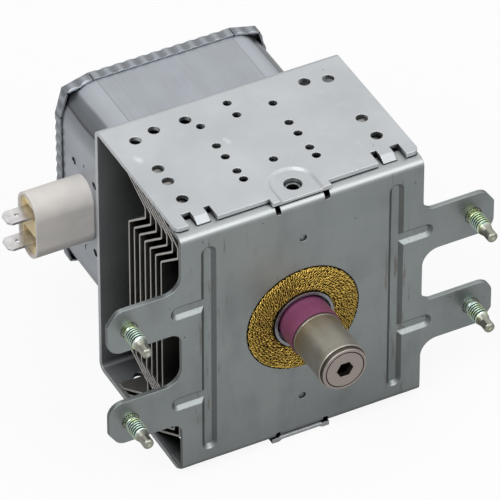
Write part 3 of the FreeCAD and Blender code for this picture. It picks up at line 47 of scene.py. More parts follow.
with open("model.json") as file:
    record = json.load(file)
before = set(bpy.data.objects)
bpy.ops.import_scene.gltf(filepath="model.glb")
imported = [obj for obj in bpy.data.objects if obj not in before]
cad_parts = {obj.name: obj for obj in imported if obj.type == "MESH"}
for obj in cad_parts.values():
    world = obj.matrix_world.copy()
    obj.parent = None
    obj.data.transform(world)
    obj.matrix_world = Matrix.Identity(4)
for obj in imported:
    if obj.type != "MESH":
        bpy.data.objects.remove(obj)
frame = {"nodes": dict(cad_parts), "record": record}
cad_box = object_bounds()
nodes = frame["nodes"]
MM = 0.001


# Colours as sRGB hex values, chosen so that the lit pieces look as they do in the photograph.
YOKE_ZINC = "#C6CACD"
PLATE_ZINC = "#979D9D"
FOLD_HIGHLIGHT_ZINC = "#B2B6B6"
STAIN = "#6E6259"
FIN_ALUMINIUM = "#B4B1AD"
BOX_ALUMINIUM = "#B0B5BB"
COVER_ALUMINIUM = "#A8ADB3"
ZINC_SILVER = "#D6E0DA"
ZINC_TEAL = "#5E8A76"
ZINC_YELLOW = "#D3DDA9"
ZINC_ROOT_SHADE = "#0F1712"
ZINC_PLAIN = "#A3A398"
BRASS_WIRE = "#EFCB68"
BRASS_GAP_SHADE = "#3A2810"
BRASS_CORE_SHADE = "#4A3614"
CAP_STEEL = "#B3ACA1"
CAP_HEAT = "#A29480"
CAP_END = "#A79D97"
CAP_EDGE_HIGHLIGHT = "#F2EEE8"
CAP_CREASE_SHADE = "#3C3831"
CAP_HOLLOW_SHADE = "#030303"
MAUVE_GLAZE = "#7C3F63"
FIRED_ALUMINA = "#ECEAE4"
CREAM_PLASTIC = "#E4DFDA"
TAN_RESIN = "#FFE3B2"
TINNED_BRASS = "#E4E2E2"
FERRITE = "#2E2F31"
COPPER = "#C08A6A"
ENAMELLED_COPPER = "#8E4A28"
MOLYBDENUM = "#6A6B6E"
NICKEL_PLATE = "#9A9DA0"
HOLLOW_SHADE = "#141718"
WHITE = "#FFFFFF"
FLOOR_PALE = "#E8E8E8"
FLOOR_DIM = "#3A3A3A"


# Places on the object that its materials follow.
BOX_CORNER = 22.2 * MM  # centre of the box's corner arcs, across and up from its middle line
BEAD_PLACE = 31 * MM  # middle of the plate's long beads, to either side
RUB_NEAR, RUB_FAR = 3 * MM, 8 * MM  # from a bead's middle: rubs are densest, and back to plain
FOLD_START, FOLD_FULL = 38.5 * MM, 39 * MM  # where the plate's long bends begin, up and down
HEAT_START, HEAT_FULL = -19 * MM, -9 * MM  # how far along the cap the brazing heat reached
NOSE_BACK = -25.1 * MM  # the groove behind the cap's end
NOSE_CREASE = 0.2 * MM
CAP_FACE = -26.3 * MM
CAP_FACE_FADE = 0.1 * MM
RIM_PITCH = 4.05 * MM  # from one crimp of the cover's rim to the next
BACK_FADE = (0.3, 0.7, 1, 0)  # how the crimps fade out as the cover turns to face back
SPECK_SPACING = 8 * MM
# Where each painted band of the box's corners begins, and its value: 0 painted shade, 0.5 plain, 1
# painted highlight.
PLAIN_BAND = 0.5
CORNER_LIGHT_BANDS = ((0.02, 0.5), (0.03, 0.25), (0.04, 0.6), (0.3, 0.76), (0.34, 0.25), (0.52, 0.15),
                (0.535, 0.0), (0.555, 0.0), (0.57, 0.3), (0.68, 0.3), (0.85, 0.5))
# The range in which most of a noise's values lie.
MIDDLE = (0.3, 0.7)


def linear(hex_colour):
    """Linear RGBA of an sRGB hex colour."""
    values = [int(hex_colour[i:i + 2], 16) / 255 for i in (1, 3, 5)]
    curve = [v / 12.92 if v <= 0.04045 else ((v + 0.055) / 1.055) ** 2.4 for v in values]
    return (*curve, 1.0)


def shade(hex_colour, factor):
    """A hex colour made lighter or darker by a factor."""
    parts = [min(255, round(int(hex_colour[i:i + 2], 16) * factor)) for i in (1, 3, 5)]
    return "#%02X%02X%02X" % tuple(parts)


def add(tree, kind, settings=None, inputs=None):
    """Add a node with its settings, and fill or link its inputs by name or number."""
    made = tree.nodes.new(kind)
    for name, value in (settings or {}).items():
        setattr(made, name, value)
    for key, value in (inputs or {}).items():
        socket = made.inputs[key]
        if isinstance(value, bpy.types.Node):
            value = value.outputs[0]
        if isinstance(value, bpy.types.NodeSocket):
            tree.links.new(value, socket)
        else:
            socket.default_value = value
    return made


def figure(tree, operation, *values):
    """A Math node on numbers, sockets or nodes."""
    return add(tree, "ShaderNodeMath", {"operation": operation}, dict(enumerate(values)))


def direction(tree, operation, *values):
    """A Vector Math node on vectors, sockets or nodes."""
    return add(tree, "ShaderNodeVectorMath", {"operation": operation}, dict(enumerate(values)))


def axes_of(tree, vector):
    """The X, Y and Z of a vector socket."""
    return add(tree, "ShaderNodeSeparateXYZ", None, {0: vector}).outputs


def true_normal(tree):
    """The way the surface faces."""
    return add(tree, "ShaderNodeNewGeometry").outputs["Normal"]


def noise(tree, place, size_mm, stretch=(1, 1, 1), detail=3.0):
    """Noise whose features are size_mm long, drawn out by stretch along each axis."""
    scale = tuple(1 / (size_mm * MM * s) for s in stretch)
    mapped = add(tree, "ShaderNodeMapping", None, {"Vector": place, "Scale": scale})
    return add(tree, "ShaderNodeTexNoise", None, {
        "Vector": mapped, "Scale": 1.0, "Detail": detail}).outputs["Fac"]


def ramp(tree, factor, low, high, out_low=0.0, out_high=1.0):
    """Map a factor from one range to another, held at both ends."""
    return add(tree, "ShaderNodeMapRange", {"clamp": True}, {
        "Value": factor, "From Min": low, "From Max": high,
        "To Min": out_low, "To Max": out_high}).outputs[0]


def blend(tree, factor, one, two):
    """Mix two colours, each a hex value or a socket."""
    values = [linear(c) if isinstance(c, str) else c for c in (one, two)]
    return add(tree, "ShaderNodeMix", {"data_type": "RGBA"}, {
        "Factor": factor, 6: values[0], 7: values[1]}).outputs[2]


def bumped(tree, height, strength, depth_mm, normal):
    """Bumps over another normal."""
    return add(tree, "ShaderNodeBump", None, {
        "Strength": strength, "Distance": depth_mm * MM, "Height": height, "Normal": normal})


def edge_wear_and_highlight(tree, radius_mm):
    """The rounded normal, and where an edge is near, from its angle to the true normal; edges
    lightened by it are wear and painted highlight.
    """
    rounded = add(tree, "ShaderNodeBevel", {"samples": 4}, {"Radius": radius_mm * MM})
    turned = direction(tree, "DOT_PRODUCT", rounded, true_normal(tree)).outputs["Value"]
    return rounded.outputs[0], ramp(tree, turned, 0.995, 0.86)


def painted_hollow_shade(tree, reach_mm, tone, dark, low, high):
    """Painted shade: darken a tone in hollows, dark where less than low of the sky is open, plain
    from high.
    """
    sky = add(tree, "ShaderNodeAmbientOcclusion", {"samples": 8}, {"Distance": reach_mm * MM})
    return blend(tree, ramp(tree, sky.outputs["AO"], low, high), dark, tone)


def empty_tree(owner):
    """The cleared node tree of a material or world."""
    owner.use_nodes = True
    owner.node_tree.nodes.clear()
    return owner.node_tree


def new_material(name, roughness, metallic):
    """A material with a Principled shader, and its tree, shader and Object coordinates."""
    material = bpy.data.materials.new(name)
    tree = empty_tree(material)
    shader = add(tree, "ShaderNodeBsdfPrincipled", None, {
        "Roughness": roughness, "Metallic": metallic})
    add(tree, "ShaderNodeOutputMaterial", None, {"Surface": shader})
    return material, tree, shader, add(tree, "ShaderNodeTexCoord").outputs["Object"]


def dress(tree, shader, tone, roughness, bumps=None):
    """Give the shader its tone, its roughness and its bumps."""
    tree.links.new(tone, shader.inputs["Base Color"])
    tree.links.new(roughness, shader.inputs["Roughness"])
    if bumps:
        tree.links.new(bumps.outputs[0], shader.inputs["Normal"])


def marks_shade_and_highlight(tree, place, tone, colour, share):
    """Dull patches a few fingers wide, dark rubs by the beads, painted shade on sideways faces and
    painted highlight on the folds.
    """
    patches = noise(tree, place, 9, (1, 1, 2.2), 5.0)
    tone = blend(tree, ramp(tree, patches, 0.5, 0.72, 0, share), tone, shade(colour, 0.72))
    spot = axes_of(tree, place)
    facing = axes_of(tree, true_normal(tree))
    rubs = noise(tree, place, 1.5, (1, 1, 7))
    off_bead = figure(tree, "SUBTRACT", figure(tree, "ABSOLUTE", spot["X"]), BEAD_PLACE)
    beside = ramp(tree, figure(tree, "ABSOLUTE", off_bead), RUB_NEAR, RUB_FAR, 0.1, 0)
    rubbed = figure(tree, "ADD", rubs, beside)
    tone = blend(tree, ramp(tree, rubbed, 0.67, 0.8, 0, 2 * share), tone, STAIN)
    # Painted shade: the flanks of the beads, and every face turned sideways, are darkened.
    flank_shade = figure(tree, "ABSOLUTE", facing["X"])
    tone = blend(tree, ramp(tree, flank_shade, 0.2, 0.6, 0, 0.75), tone, shade(colour, 0.62))
    # Painted highlight: the outside of the long bends is lightened where it faces up or down.
    upright = figure(tree, "ABSOLUTE", facing["Z"])
    height = figure(tree, "ABSOLUTE", spot["Z"])
    fold_highlight = figure(tree, "MULTIPLY", ramp(tree, upright, 0.1, 0.6),
                  ramp(tree, height, FOLD_START, FOLD_FULL))
    return blend(tree, fold_highlight, tone, FOLD_HIGHLIGHT_ZINC)


def sheet_steel(name, colour, grain, roughness, lines_share, specks_share, marks_and_light=0.0):
    """Zinc-plated cold-rolled sheet: cloudy plating, faint rolling lines, and edges lightened as
    wear and painted highlight.
    """
    material, tree, shader, place = new_material(name, roughness, 0.88)
    normal, edge = edge_wear_and_highlight(tree, 0.35)
    clouds = noise(tree, place, 22)
    blotches = noise(tree, place, 3.5)
    lines = noise(tree, place, 0.5, grain, 2.0)
    # The plating: clouds, paler blotches and rolling lines.
    tone = blend(tree, ramp(tree, clouds, *MIDDLE), shade(colour, 0.96), shade(colour, 1.03))
    tone = blend(tree, ramp(tree, blotches, 0.55, 0.75, 0, 0.3), tone, shade(colour, 1.05))
    tone = blend(tree, ramp(tree, lines, *MIDDLE, 0, lines_share), tone, shade(colour, 0.86))
    if marks_and_light:
        tone = marks_shade_and_highlight(tree, place, tone, colour, marks_and_light)
    # Dark specks, fine bright scratches, and edges lightened as wear and painted highlight.
    specks = add(tree, "ShaderNodeTexVoronoi", None, {
        "Vector": place, "Scale": 1 / SPECK_SPACING, "Randomness": 1.0}).outputs["Distance"]
    tone = blend(tree, ramp(tree, specks, 0.045, 0.03, 0, specks_share), tone, shade(colour, 0.4))
    scratches = noise(tree, place, 0.16, (60, 60, 1), 1.0)
    tone = blend(tree, ramp(tree, scratches, 0.74, 0.8, 0, 0.5), tone, shade(colour, 1.25))
    worn = 0.25 if marks_and_light else 0.5
    tone = blend(tree, ramp(tree, edge, 0, 1, 0, worn), tone, shade(colour, 1.4))
    # Painted shade in the creases and in the deep openings.
    tone = painted_hollow_shade(tree, 0.9, tone, shade(colour, 0.45), 0.3, 0.88)
    tone = painted_hollow_shade(tree, 40, tone, HOLLOW_SHADE, 0.17, 0.6)
    grit = bumped(tree, noise(tree, place, 0.35, detail=2.0), 0.1, 0.04, normal)
    dress(tree, shader, tone, ramp(tree, clouds, *MIDDLE, roughness - 0.04, roughness + 0.05),
          bumped(tree, clouds, 0.2, 0.15, grit))
    return material


def corner_light_bands(tree, place, centre):
    """Painted shade and highlight bands along the box's rounded corners, by the angle about the
    arcs' centre.
    """
    axes = axes_of(tree, place)
    past = []
    for axis in ("X", "Z"):
        beyond = figure(tree, "SUBTRACT", figure(tree, "ABSOLUTE", axes[axis]), centre)
        beyond.use_clamp = True
        past.append(beyond)
    waver = ramp(tree, noise(tree, place, 9, (1, 4, 1), 1.0), 0, 1, 0.45, 0.65)
    turned = figure(tree, "MULTIPLY", waver, figure(tree, "ARCTAN2", *past))
    bands = add(tree, "ShaderNodeValToRGB", None, {0: turned})
    stops = bands.color_ramp.elements
    for stop, position in zip(stops, (0.0, 1.0)):
        stop.position, stop.color = position, (PLAIN_BAND, PLAIN_BAND, PLAIN_BAND, 1)
    for position, value in CORNER_LIGHT_BANDS:
        stops.new(position).color = (value, value, value, 1)
    return bands.outputs["Color"]


def rim_waves(tree, place):
    """1 in the hollows of the crimped rim, and 0 on its crests and on the cover's back face."""
    axes = axes_of(tree, place)
    upright = figure(tree, "GREATER_THAN", figure(tree, "ABSOLUTE", axes["X"]),
                     figure(tree, "ABSOLUTE", axes["Z"]))
    run = add(tree, "ShaderNodeMix", {"data_type": "FLOAT"}, {
        "Factor": upright, "A": axes["X"], "B": axes["Z"]})
    wave = figure(tree, "COSINE", figure(tree, "MULTIPLY", run, 2 * math.pi / RIM_PITCH))
    back = figure(tree, "ABSOLUTE", axes_of(tree, true_normal(tree))["Y"])
    return figure(tree, "MULTIPLY", ramp(tree, wave, -1, 1), ramp(tree, back, *BACK_FADE))


def drawn_aluminium(name, colour, grain, roughness, strength, reach_mm, corner=None, rim=False):
    """Aluminium sheet with draw lines: soft bright and dull bands along the pull of the die."""
    material, tree, shader, place = new_material(name, roughness, 0.92)
    normal, edge = edge_wear_and_highlight(tree, 0.25)
    wide = noise(tree, place, 6, grain, 2.0)
    fine = noise(tree, place, 0.6, grain, 2.0)
    clouds = noise(tree, place, 12)
    tone = blend(tree, ramp(tree, wide, *MIDDLE), shade(colour, 0.97), shade(colour, 1.03))
    tone = blend(tree, ramp(tree, clouds, 0.35, 0.7, 0, 0.5), tone, shade(colour, 0.93))
    tone = blend(tree, ramp(tree, fine, *MIDDLE, 0, 0.16 * strength), tone, shade(colour, 0.8))
    # Edges lightened as wear and painted highlight.
    tone = blend(tree, ramp(tree, edge, 0, 1, 0, 0.6), tone, shade(colour, 1.35))
    if rim:
        wave = rim_waves(tree, place)
        # Painted shade in the rim's hollows, with a bump to match.
        tone = blend(tree, wave, tone, shade(colour, 0.78))
        normal = bumped(tree, ramp(tree, wave, 0, 1, 1, 0), 0.5, 0.25, normal)
    if corner:
        bands = corner_light_bands(tree, place, corner)
        # Painted shade and painted highlight in bands round the box's corners.
        corner_shade = ramp(tree, bands, PLAIN_BAND, 0.0, 0, 0.8)
        corner_highlight = ramp(tree, bands, PLAIN_BAND, 1.0, 0, 0.6)
        tone = blend(tree, corner_shade, tone, shade(colour, 0.45))
        tone = blend(tree, corner_highlight, tone, shade(colour, 1.3))
        # Painted shade inside the closed box, where its holes show it.
        tone = painted_hollow_shade(tree, 90, tone, HOLLOW_SHADE, 0.05, 0.4)
    # Painted shade in the hollows.
    tone = painted_hollow_shade(tree, reach_mm, tone, HOLLOW_SHADE, 0.1, 0.6)
    lines = bumped(tree, wide, 0.2 * strength, 0.03, normal)
    dress(tree, shader, tone, ramp(tree, wide, *MIDDLE, roughness - 0.05, roughness + 0.07),
          bumped(tree, clouds, 0.25 * strength, 0.3, lines))
    return material


def turned_steel():
    """Drawn stainless cap, tinted by brazing heat near its base, with fine rings from the tool."""
    material, tree, shader, place = new_material("drawn_stainless_steel", 0.28, 1.0)
    normal, edge = edge_wear_and_highlight(tree, 0.2)
    rings = noise(tree, place, 0.5, (40, 1, 40), 2.0)
    clouds = noise(tree, place, 6, detail=2.0)
    along = axes_of(tree, place)["Y"]
    heat = ramp(tree, along, HEAT_START, HEAT_FULL, 0, 0.75)
    # Painted shade: a dark band in the groove behind the cap's end.
    groove_shade = ramp(tree, along, NOSE_BACK, NOSE_BACK - NOSE_CREASE, 0, 0.65)
    tone = blend(tree, ramp(tree, clouds, *MIDDLE, 0, 0.4), CAP_STEEL, shade(CAP_STEEL, 1.08))
    tone = blend(tree, heat, tone, CAP_HEAT)
    tone = blend(tree, ramp(tree, rings, 0.35, 0.7, 0, 0.1), tone, shade(CAP_STEEL, 0.8))
    tone = blend(tree, groove_shade, tone, CAP_CREASE_SHADE)
    # The cap's edges lightened as wear and painted highlight.
    tone = blend(tree, ramp(tree, edge, 0, 1, 0, 0.75), tone, CAP_EDGE_HIGHLIGHT)
    tone = blend(tree, ramp(tree, along, CAP_FACE + CAP_FACE_FADE, CAP_FACE), tone, CAP_END)
    # Painted shade in the creases and in the hexagonal hole.
    tone = painted_hollow_shade(tree, 1.5, tone, CAP_CREASE_SHADE, 0.5, 0.97)
    tone = painted_hollow_shade(tree, 10, tone, CAP_HOLLOW_SHADE, 0.05, 0.4)
    dress(tree, shader, tone, ramp(tree, clouds, *MIDDLE, 0.36, 0.46),
          bumped(tree, rings, 0.15, 0.02, normal))
    return material


def moulded(name, colour, roughness, mottle, bump_mm, coat=0.0, creases=None):
    """Moulded or fired pieces with a fine skin. Creases are the reach, low and high of painted
    shade in hollows.
    """
    material, tree, shader, place = new_material(name, roughness, 0.0)
    normal, edge = edge_wear_and_highlight(tree, 0.2)
    clouds = noise(tree, place, 5)
    skin = noise(tree, place, 0.4, detail=2.0)
    tone = blend(tree, ramp(tree, clouds, *MIDDLE),
                 shade(colour, 1 - mottle), shade(colour, 1 + mottle))
    # Edges lightened as painted highlight.
    tone = blend(tree, ramp(tree, edge, 0, 1, 0, 0.25), tone, shade(colour, 1.15))
    if creases:
        reach_mm, low, high = creases
        # Painted shade in the hollows.
        tone = painted_hollow_shade(tree, reach_mm, tone, shade(colour, 0.25), low, high)
    dress(tree, shader, tone, ramp(tree, skin, *MIDDLE, roughness - 0.05, roughness + 0.05),
          bumped(tree, skin, 0.3, bump_mm, normal))
    shader.inputs["Coat Weight"].default_value = coat
    shader.inputs["Coat Roughness"].default_value = 0.12
    return material


def bare_metal(name, colour, roughness, tarnish):
    """Small machined or drawn metal pieces, tarnished to a shade of their colour."""
    material, tree, shader, place = new_material(name, roughness, 1.0)
    normal, edge = edge_wear_and_highlight(tree, 0.15)
    clouds = noise(tree, place, 2.5)
    fine = noise(tree, place, 0.3)
    tone = blend(tree, ramp(tree, clouds, 0.35, 0.7, 0, 0.6), colour, shade(colour, tarnish))
    # Edges lightened as wear and painted highlight.
    tone = blend(tree, ramp(tree, edge, 0, 1, 0, 0.5), tone, shade(colour, 1.25))
    dress(tree, shader, tone, ramp(tree, fine, *MIDDLE, roughness - 0.06, roughness + 0.08),
          bumped(tree, fine, 0.2, 0.03, normal))
    return material


def chromated_zinc():
    """Zinc with an iridescent film, painted shade in the thread's roots and the knurl's gaps, and
    bare on the plain end.
    """
    material, tree, shader, place = new_material("chromated_zinc", 0.24, 1.0)
    depth = add(tree, "ShaderNodeAttribute", {"attribute_name": "depth"}).outputs["Fac"]
    film = ramp(tree, noise(tree, place, 3.5), 0.45, 0.58)
    tone = blend(tree, film, ZINC_SILVER, ZINC_YELLOW)
    tone = blend(tree, ramp(tree, depth, 0.15, 0.35), tone, ZINC_TEAL)
    # Painted shade, darkest in the thread's roots and the knurl's gaps.
    tone = blend(tree, ramp(tree, depth, 0.4, 0.6), tone, ZINC_ROOT_SHADE)
    tone = blend(tree, ramp(tree, depth, -0.2, -0.8), tone, ZINC_PLAIN)
    # Painted shade in the nearby hollows too.
    dress(tree, shader, painted_hollow_shade(tree, 0.6, tone, ZINC_ROOT_SHADE, 0.15, 0.55),
          ramp(tree, noise(tree, place, 0.6), *MIDDLE, 0.24, 0.4))
    return material


def brass_wire(name, colour):
    """Bright drawn brass wire, with painted shade where the knit lies deep."""
    material, tree, shader, place = new_material(name, 0.28, 1.0)
    tone = blend(tree, ramp(tree, noise(tree, place, 1.2), 0.4, 0.65), colour, shade(colour, 0.78))
    dress(tree, shader, painted_hollow_shade(tree, 0.8, tone, BRASS_GAP_SHADE, 0.4, 0.88),
          ramp(tree, noise(tree, place, 0.4), *MIDDLE, 0.2, 0.36))
    return material


slot_materials = {
    "zinc_steel": sheet_steel(
        "zinc_plated_steel", YOKE_ZINC, grain=(1, 40, 1), roughness=0.42,
        lines_share=0.06, specks_share=0.4),
    "front_plate_steel": sheet_steel(
        "dull_zinc_plated_steel", PLATE_ZINC, grain=(1, 1, 40), roughness=0.4,
        lines_share=0.1, specks_share=0.8, marks_and_light=0.3),
    "fin_aluminium": drawn_aluminium(
        "rolled_aluminium", FIN_ALUMINIUM, grain=(30, 1, 1), roughness=0.34,
        strength=0.6, reach_mm=25),
    "box_aluminium": drawn_aluminium(
        "drawn_aluminium", BOX_ALUMINIUM, grain=(1, 30, 1), roughness=0.34,
        strength=1.0, reach_mm=2, corner=BOX_CORNER),
    "stud_zinc": chromated_zinc(),
    "brass_mesh": brass_wire("knitted_brass_wire", BRASS_WIRE),
    "cap_steel": turned_steel(),
    "output_glaze": moulded(
        "mauve_glazed_alumina", MAUVE_GLAZE, roughness=0.42, mottle=0.04, bump_mm=0.02,
        coat=0.15, creases=(1.6, 0.25, 0.75)),
    "stem_alumina": moulded(
        "fired_alumina", FIRED_ALUMINA, roughness=0.6, mottle=0.03, bump_mm=0.04),
    "housing_plastic": moulded(
        "cream_moulded_resin", CREAM_PLASTIC, roughness=0.45, mottle=0.02, bump_mm=0.03,
        creases=(8, 0.04, 0.22)),
    "insert_epoxy": moulded(
        "tan_potting_resin", TAN_RESIN, roughness=0.5, mottle=0.05, bump_mm=0.05),
    "blade_tin": bare_metal("tinned_brass", TINNED_BRASS, roughness=0.3, tarnish=0.8),
    "magnet_ferrite": moulded(
        "ground_ferrite", FERRITE, roughness=0.5, mottle=0.15, bump_mm=0.06),
    "copper": bare_metal("oxygen_free_copper", COPPER, roughness=0.35, tarnish=0.7),
    "choke_wire": bare_metal(
        "enamelled_copper_wire", ENAMELLED_COPPER, roughness=0.3, tarnish=0.8),
    "cathode_metal": bare_metal("molybdenum", MOLYBDENUM, roughness=0.4, tarnish=0.8),
    "plated_steel": bare_metal("nickel_plated_steel", NICKEL_PLATE, roughness=0.32, tarnish=0.85),
}
slot_of = {s["node"]: s["material_slot"] for s in frame["record"]["subparts"]}
for name, piece in nodes.items():
    piece.material_slots[0].material = slot_materials[slot_of[name]]
crimped_rim = drawn_aluminium(
    "pressed_aluminium", COVER_ALUMINIUM, grain=(6, 6, 1), roughness=0.42,
    strength=0.7, reach_mm=1.2, rim=True)
nodes["filter_cover"].material_slots[0].material = crimped_rim


def new_mesh(name, points, faces, material):
    """A mesh of one material."""
    mesh = bpy.data.meshes.new(name)
    mesh.from_pydata(points, [], faces)
    mesh.materials.append(material)
    return mesh


def new_object(name, data):
    """An object in the scene."""
    made = bpy.data.objects.new(name, data)
    bpy.context.scene.collection.objects.link(made)
    return made


def new_piece(name, mesh, slot, *replaced):
    """A finished mesh at the origin that stands for CAD nodes."""
    piece = new_object(name, mesh)
    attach(piece, "root")
    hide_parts(*replaced)


# Studs: a fine grid round the axis, with real teeth in the ear and a real thread.
STUD_SEGMENTS = 88
STUD_TURN = 1.7  # radians from one stud to the next
EAR_FACE = 0.0
# The plain tip and the cone behind it.
DOG_RADIUS = 1.7 * MM
DOG_ROUNDING = ((0.0, 0.7), (0.12, 0.4), (0.35, 0.12), (0.65, 0.0))  # mm back and mm inward
CONE_END = -8.9 * MM
CONE_RISE, CONE_STEP = 0.05 * MM, 0.15 * MM
# The thread, with a worn lead in front and a run-out at the neck.
THREAD_RADIUS = 2.5 * MM
THREAD_PITCH = 0.92 * MM
THREAD_DEPTH = 0.6 * MM
THREAD_STEPS = 96
THREAD_END = -7.3 * MM
LEAD_LENGTH = 1.1 * MM
LEAD_DROP = 0.25 * MM
LEAD_SHINE = 0.4
WORN_LENGTH = 0.6 * MM
WORN_SHARE = 0.8
RUN_OUT_DEPTH = 0.4
NECK = -1.2 * MM
NECK_STEP = 0.15 * MM
NECK_RADIUS = 2.1 * MM
# The knurled shoulder in the ear and the head behind it.
KNURL_RADIUS = 2.8 * MM
KNURL_TEETH = 22
TOOTH_SHARE = 0.45
TOOTH_DEPTH = 0.55 * MM
TOOTH_LENGTH = 1.2 * MM
HEAD_FRONT = 1.5 * MM
HEAD_RADIUS = 4.2 * MM
HEAD_CHAMFER = 0.3 * MM
# The depth, as surface_radius gives it, of what is neither thread nor teeth.
PLAIN_DEPTHS = {"bare": -1.0, "film": 0.24, "plain": 0.0, "root": 1.0}


def stud_rows(front, back):
    """Rings of a stud from its tip to its head: place along Y, radius and kind of surface."""
    rows = [(front, 0.0, "bare")]
    rows += [(front + behind * MM, DOG_RADIUS - inward * MM, "bare")
             for behind, inward in DOG_ROUNDING]
    rows += [(CONE_END, DOG_RADIUS, "bare"), (CONE_END + CONE_STEP, DOG_RADIUS + CONE_RISE, "bare")]
    rows += [(THREAD_END + (NECK - THREAD_END) * step / THREAD_STEPS, THREAD_RADIUS, "thread")
             for step in range(THREAD_STEPS + 1)]
    rows += [(NECK + NECK_STEP, NECK_RADIUS, "film"), (EAR_FACE, NECK_RADIUS, "film"),
             (EAR_FACE, NECK_RADIUS, "bare"), (EAR_FACE, KNURL_RADIUS, "teeth"),
             (TOOTH_LENGTH, KNURL_RADIUS, "teeth"),
             (TOOTH_LENGTH, KNURL_RADIUS - TOOTH_DEPTH, "root"),
             (TOOTH_LENGTH, KNURL_RADIUS, "root"), (HEAD_FRONT, KNURL_RADIUS, "plain"),
             (HEAD_FRONT, HEAD_RADIUS, "plain"), (back - HEAD_CHAMFER, HEAD_RADIUS, "plain"),
             (back, HEAD_RADIUS - HEAD_CHAMFER, "plain"), (back, 0.0, "plain")]
    return rows


def surface_radius(place, radius, kind, angle):
    """The radius at one place and angle, and its depth: -1 where it is bare, 0 to 1 elsewhere."""
    if kind == "thread":
        phase = (place / THREAD_PITCH + angle / (2 * math.pi)) % 1
        groove = 1 - abs(2 * phase - 1)
        run_out = min(1, max(0, (NECK - place) / THREAD_PITCH))
        lead = max(0, 1 - (place - THREAD_END) / LEAD_LENGTH)
        worn = max(0, 1 - (place - THREAD_END) / WORN_LENGTH)
        cut = groove * run_out + RUN_OUT_DEPTH * (1 - run_out)
        reach = radius - THREAD_DEPTH * cut * (1 - WORN_SHARE * worn) - LEAD_DROP * lead
        return reach, groove * run_out * (1 - lead) - LEAD_SHINE * lead
    if kind == "teeth":
        cut = 1.0 if (angle * KNURL_TEETH / (2 * math.pi)) % 1 > TOOTH_SHARE else 0.0
        return radius - TOOTH_DEPTH * cut, 2 * cut - 1
    return radius, PLAIN_DEPTHS[kind]


def ring_faces(lower, upper):
    """Faces between two rings of a stud, either of which may be a single point."""
    faces = []
    for index in range(STUD_SEGMENTS):
        after = (index + 1) % STUD_SEGMENTS
        if len(lower) == 1:
            faces.append((lower[0], upper[index], upper[after]))
        elif len(upper) == 1:
            faces.append((lower[index], upper[0], lower[after]))
        else:
            faces.append((lower[index], upper[index], upper[after], lower[after]))
    return faces


def make_stud(name, centre, front, back, turn):
    """The mesh of one stud, with each point's depth for its material."""
    points, depths, rings = [], [], []
    for place, radius, kind in stud_rows(front, back):
        if radius == 0.0:
            rings.append([len(points)])
            points.append((centre.x, place, centre.z))
            depths.append(0.0)
            continue
        rings.append(range(len(points), len(points) + STUD_SEGMENTS))
        for segment in range(STUD_SEGMENTS):
            angle = 2 * math.pi * segment / STUD_SEGMENTS
            reach, depth = surface_radius(place, radius, kind, angle)
            points.append((centre.x + reach * math.cos(angle + turn), place,
                           centre.z + reach * math.sin(angle + turn)))
            depths.append(depth)
    faces = [face for pair in zip(rings, rings[1:]) for face in ring_faces(*pair)]
    mesh = new_mesh(name, points, faces, slot_materials["stud_zinc"])
    mesh.attributes.new("depth", "FLOAT", "POINT").data.foreach_set("value", depths)
    return mesh


for number in range(1, 5):
    low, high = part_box("stud_%d" % number)
    stud = make_stud("stud_%d_thread" % number, (low + high) / 2, low.y, high.y, number * STUD_TURN)
    new_piece("threaded_stud_%d" % number, stud, "stud_zinc", "stud_%d" % number)


# Gasket: a core coloured dark as painted shade, under a skin of waving wires.
CORE_INNER = 10.02 * MM
CORE_INSET = 0.5 * MM  # in from the gasket's outside
CORE_FRONT = 0.7 * MM  # behind the gasket's front
CORE_SHOULDER = 0.8 * MM
CORE_INNER_DROP, CORE_OUTER_DROP = 0.2 * MM, 0.45 * MM
CORE_SEGMENTS = 96
# Each layer's rows, pitch and depth in mm, and shift in radians.
KNIT_LAYERS = ((10.0, 1.7, 0.36, 0.0), (10.0, 1.7, 0.40, 3.14), (11.0, -1.5, 0.62, 1.0))
KNIT_INSET = 0.6 * MM
KNIT_INNER = 10.5 * MM
KNIT_RELIEF = 0.2  # mm that a wire's waves may stand above its layer
SPIRAL_STEPS = 860  # in each turn
WIRE_RADIUS = 0.18 * MM
WIRE_SIDES = 4
COIL_RADIUS = 0.38 * MM
COIL_HEIGHT = 0.28 * MM
ROW_SPACING = 0.86 * MM
SLACK_SIZE = 2.3 * MM
SLACK_TURN = 9.0  # radians by which a slack wire's waves may lag
DOME_DROP = 0.4 * MM
DOME_POWER = 8.0
STRAY_SIZE = 0.8 * MM
STRAY_REACH = (0.85 * MM, 0.85 * MM, 0.2 * MM)
NOISE_MEAN = (0.5, 0.5, 0.5)


def gasket_core():
    """A domed ring under the knit."""
    low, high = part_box("mesh_gasket")
    outer = (high.x - low.x) / 2 - CORE_INSET
    front = low.y + CORE_FRONT
    profile = [(high.y, CORE_INNER), (front + CORE_INNER_DROP, CORE_INNER),
               (front, CORE_INNER + CORE_SHOULDER), (front, outer - CORE_SHOULDER),
               (front + CORE_OUTER_DROP, outer), (high.y, outer)]
    points, faces = [], []
    for segment in range(CORE_SEGMENTS):
        angle = 2 * math.pi * segment / CORE_SEGMENTS
        points += [(r * math.cos(angle), y, r * math.sin(angle)) for y, r in profile]
    count = len(profile)
    for segment in range(CORE_SEGMENTS):
        here, after = segment * count, ((segment + 1) % CORE_SEGMENTS) * count
        for index in range(count):
            following = (index + 1) % count
            faces.append((here + index, here + following, after + following, after + index))
    # The core's dark brass stands for painted shade between the wires.
    return new_mesh("gasket_core", points, faces, brass_wire("matted_brass_wire", BRASS_CORE_SHADE))


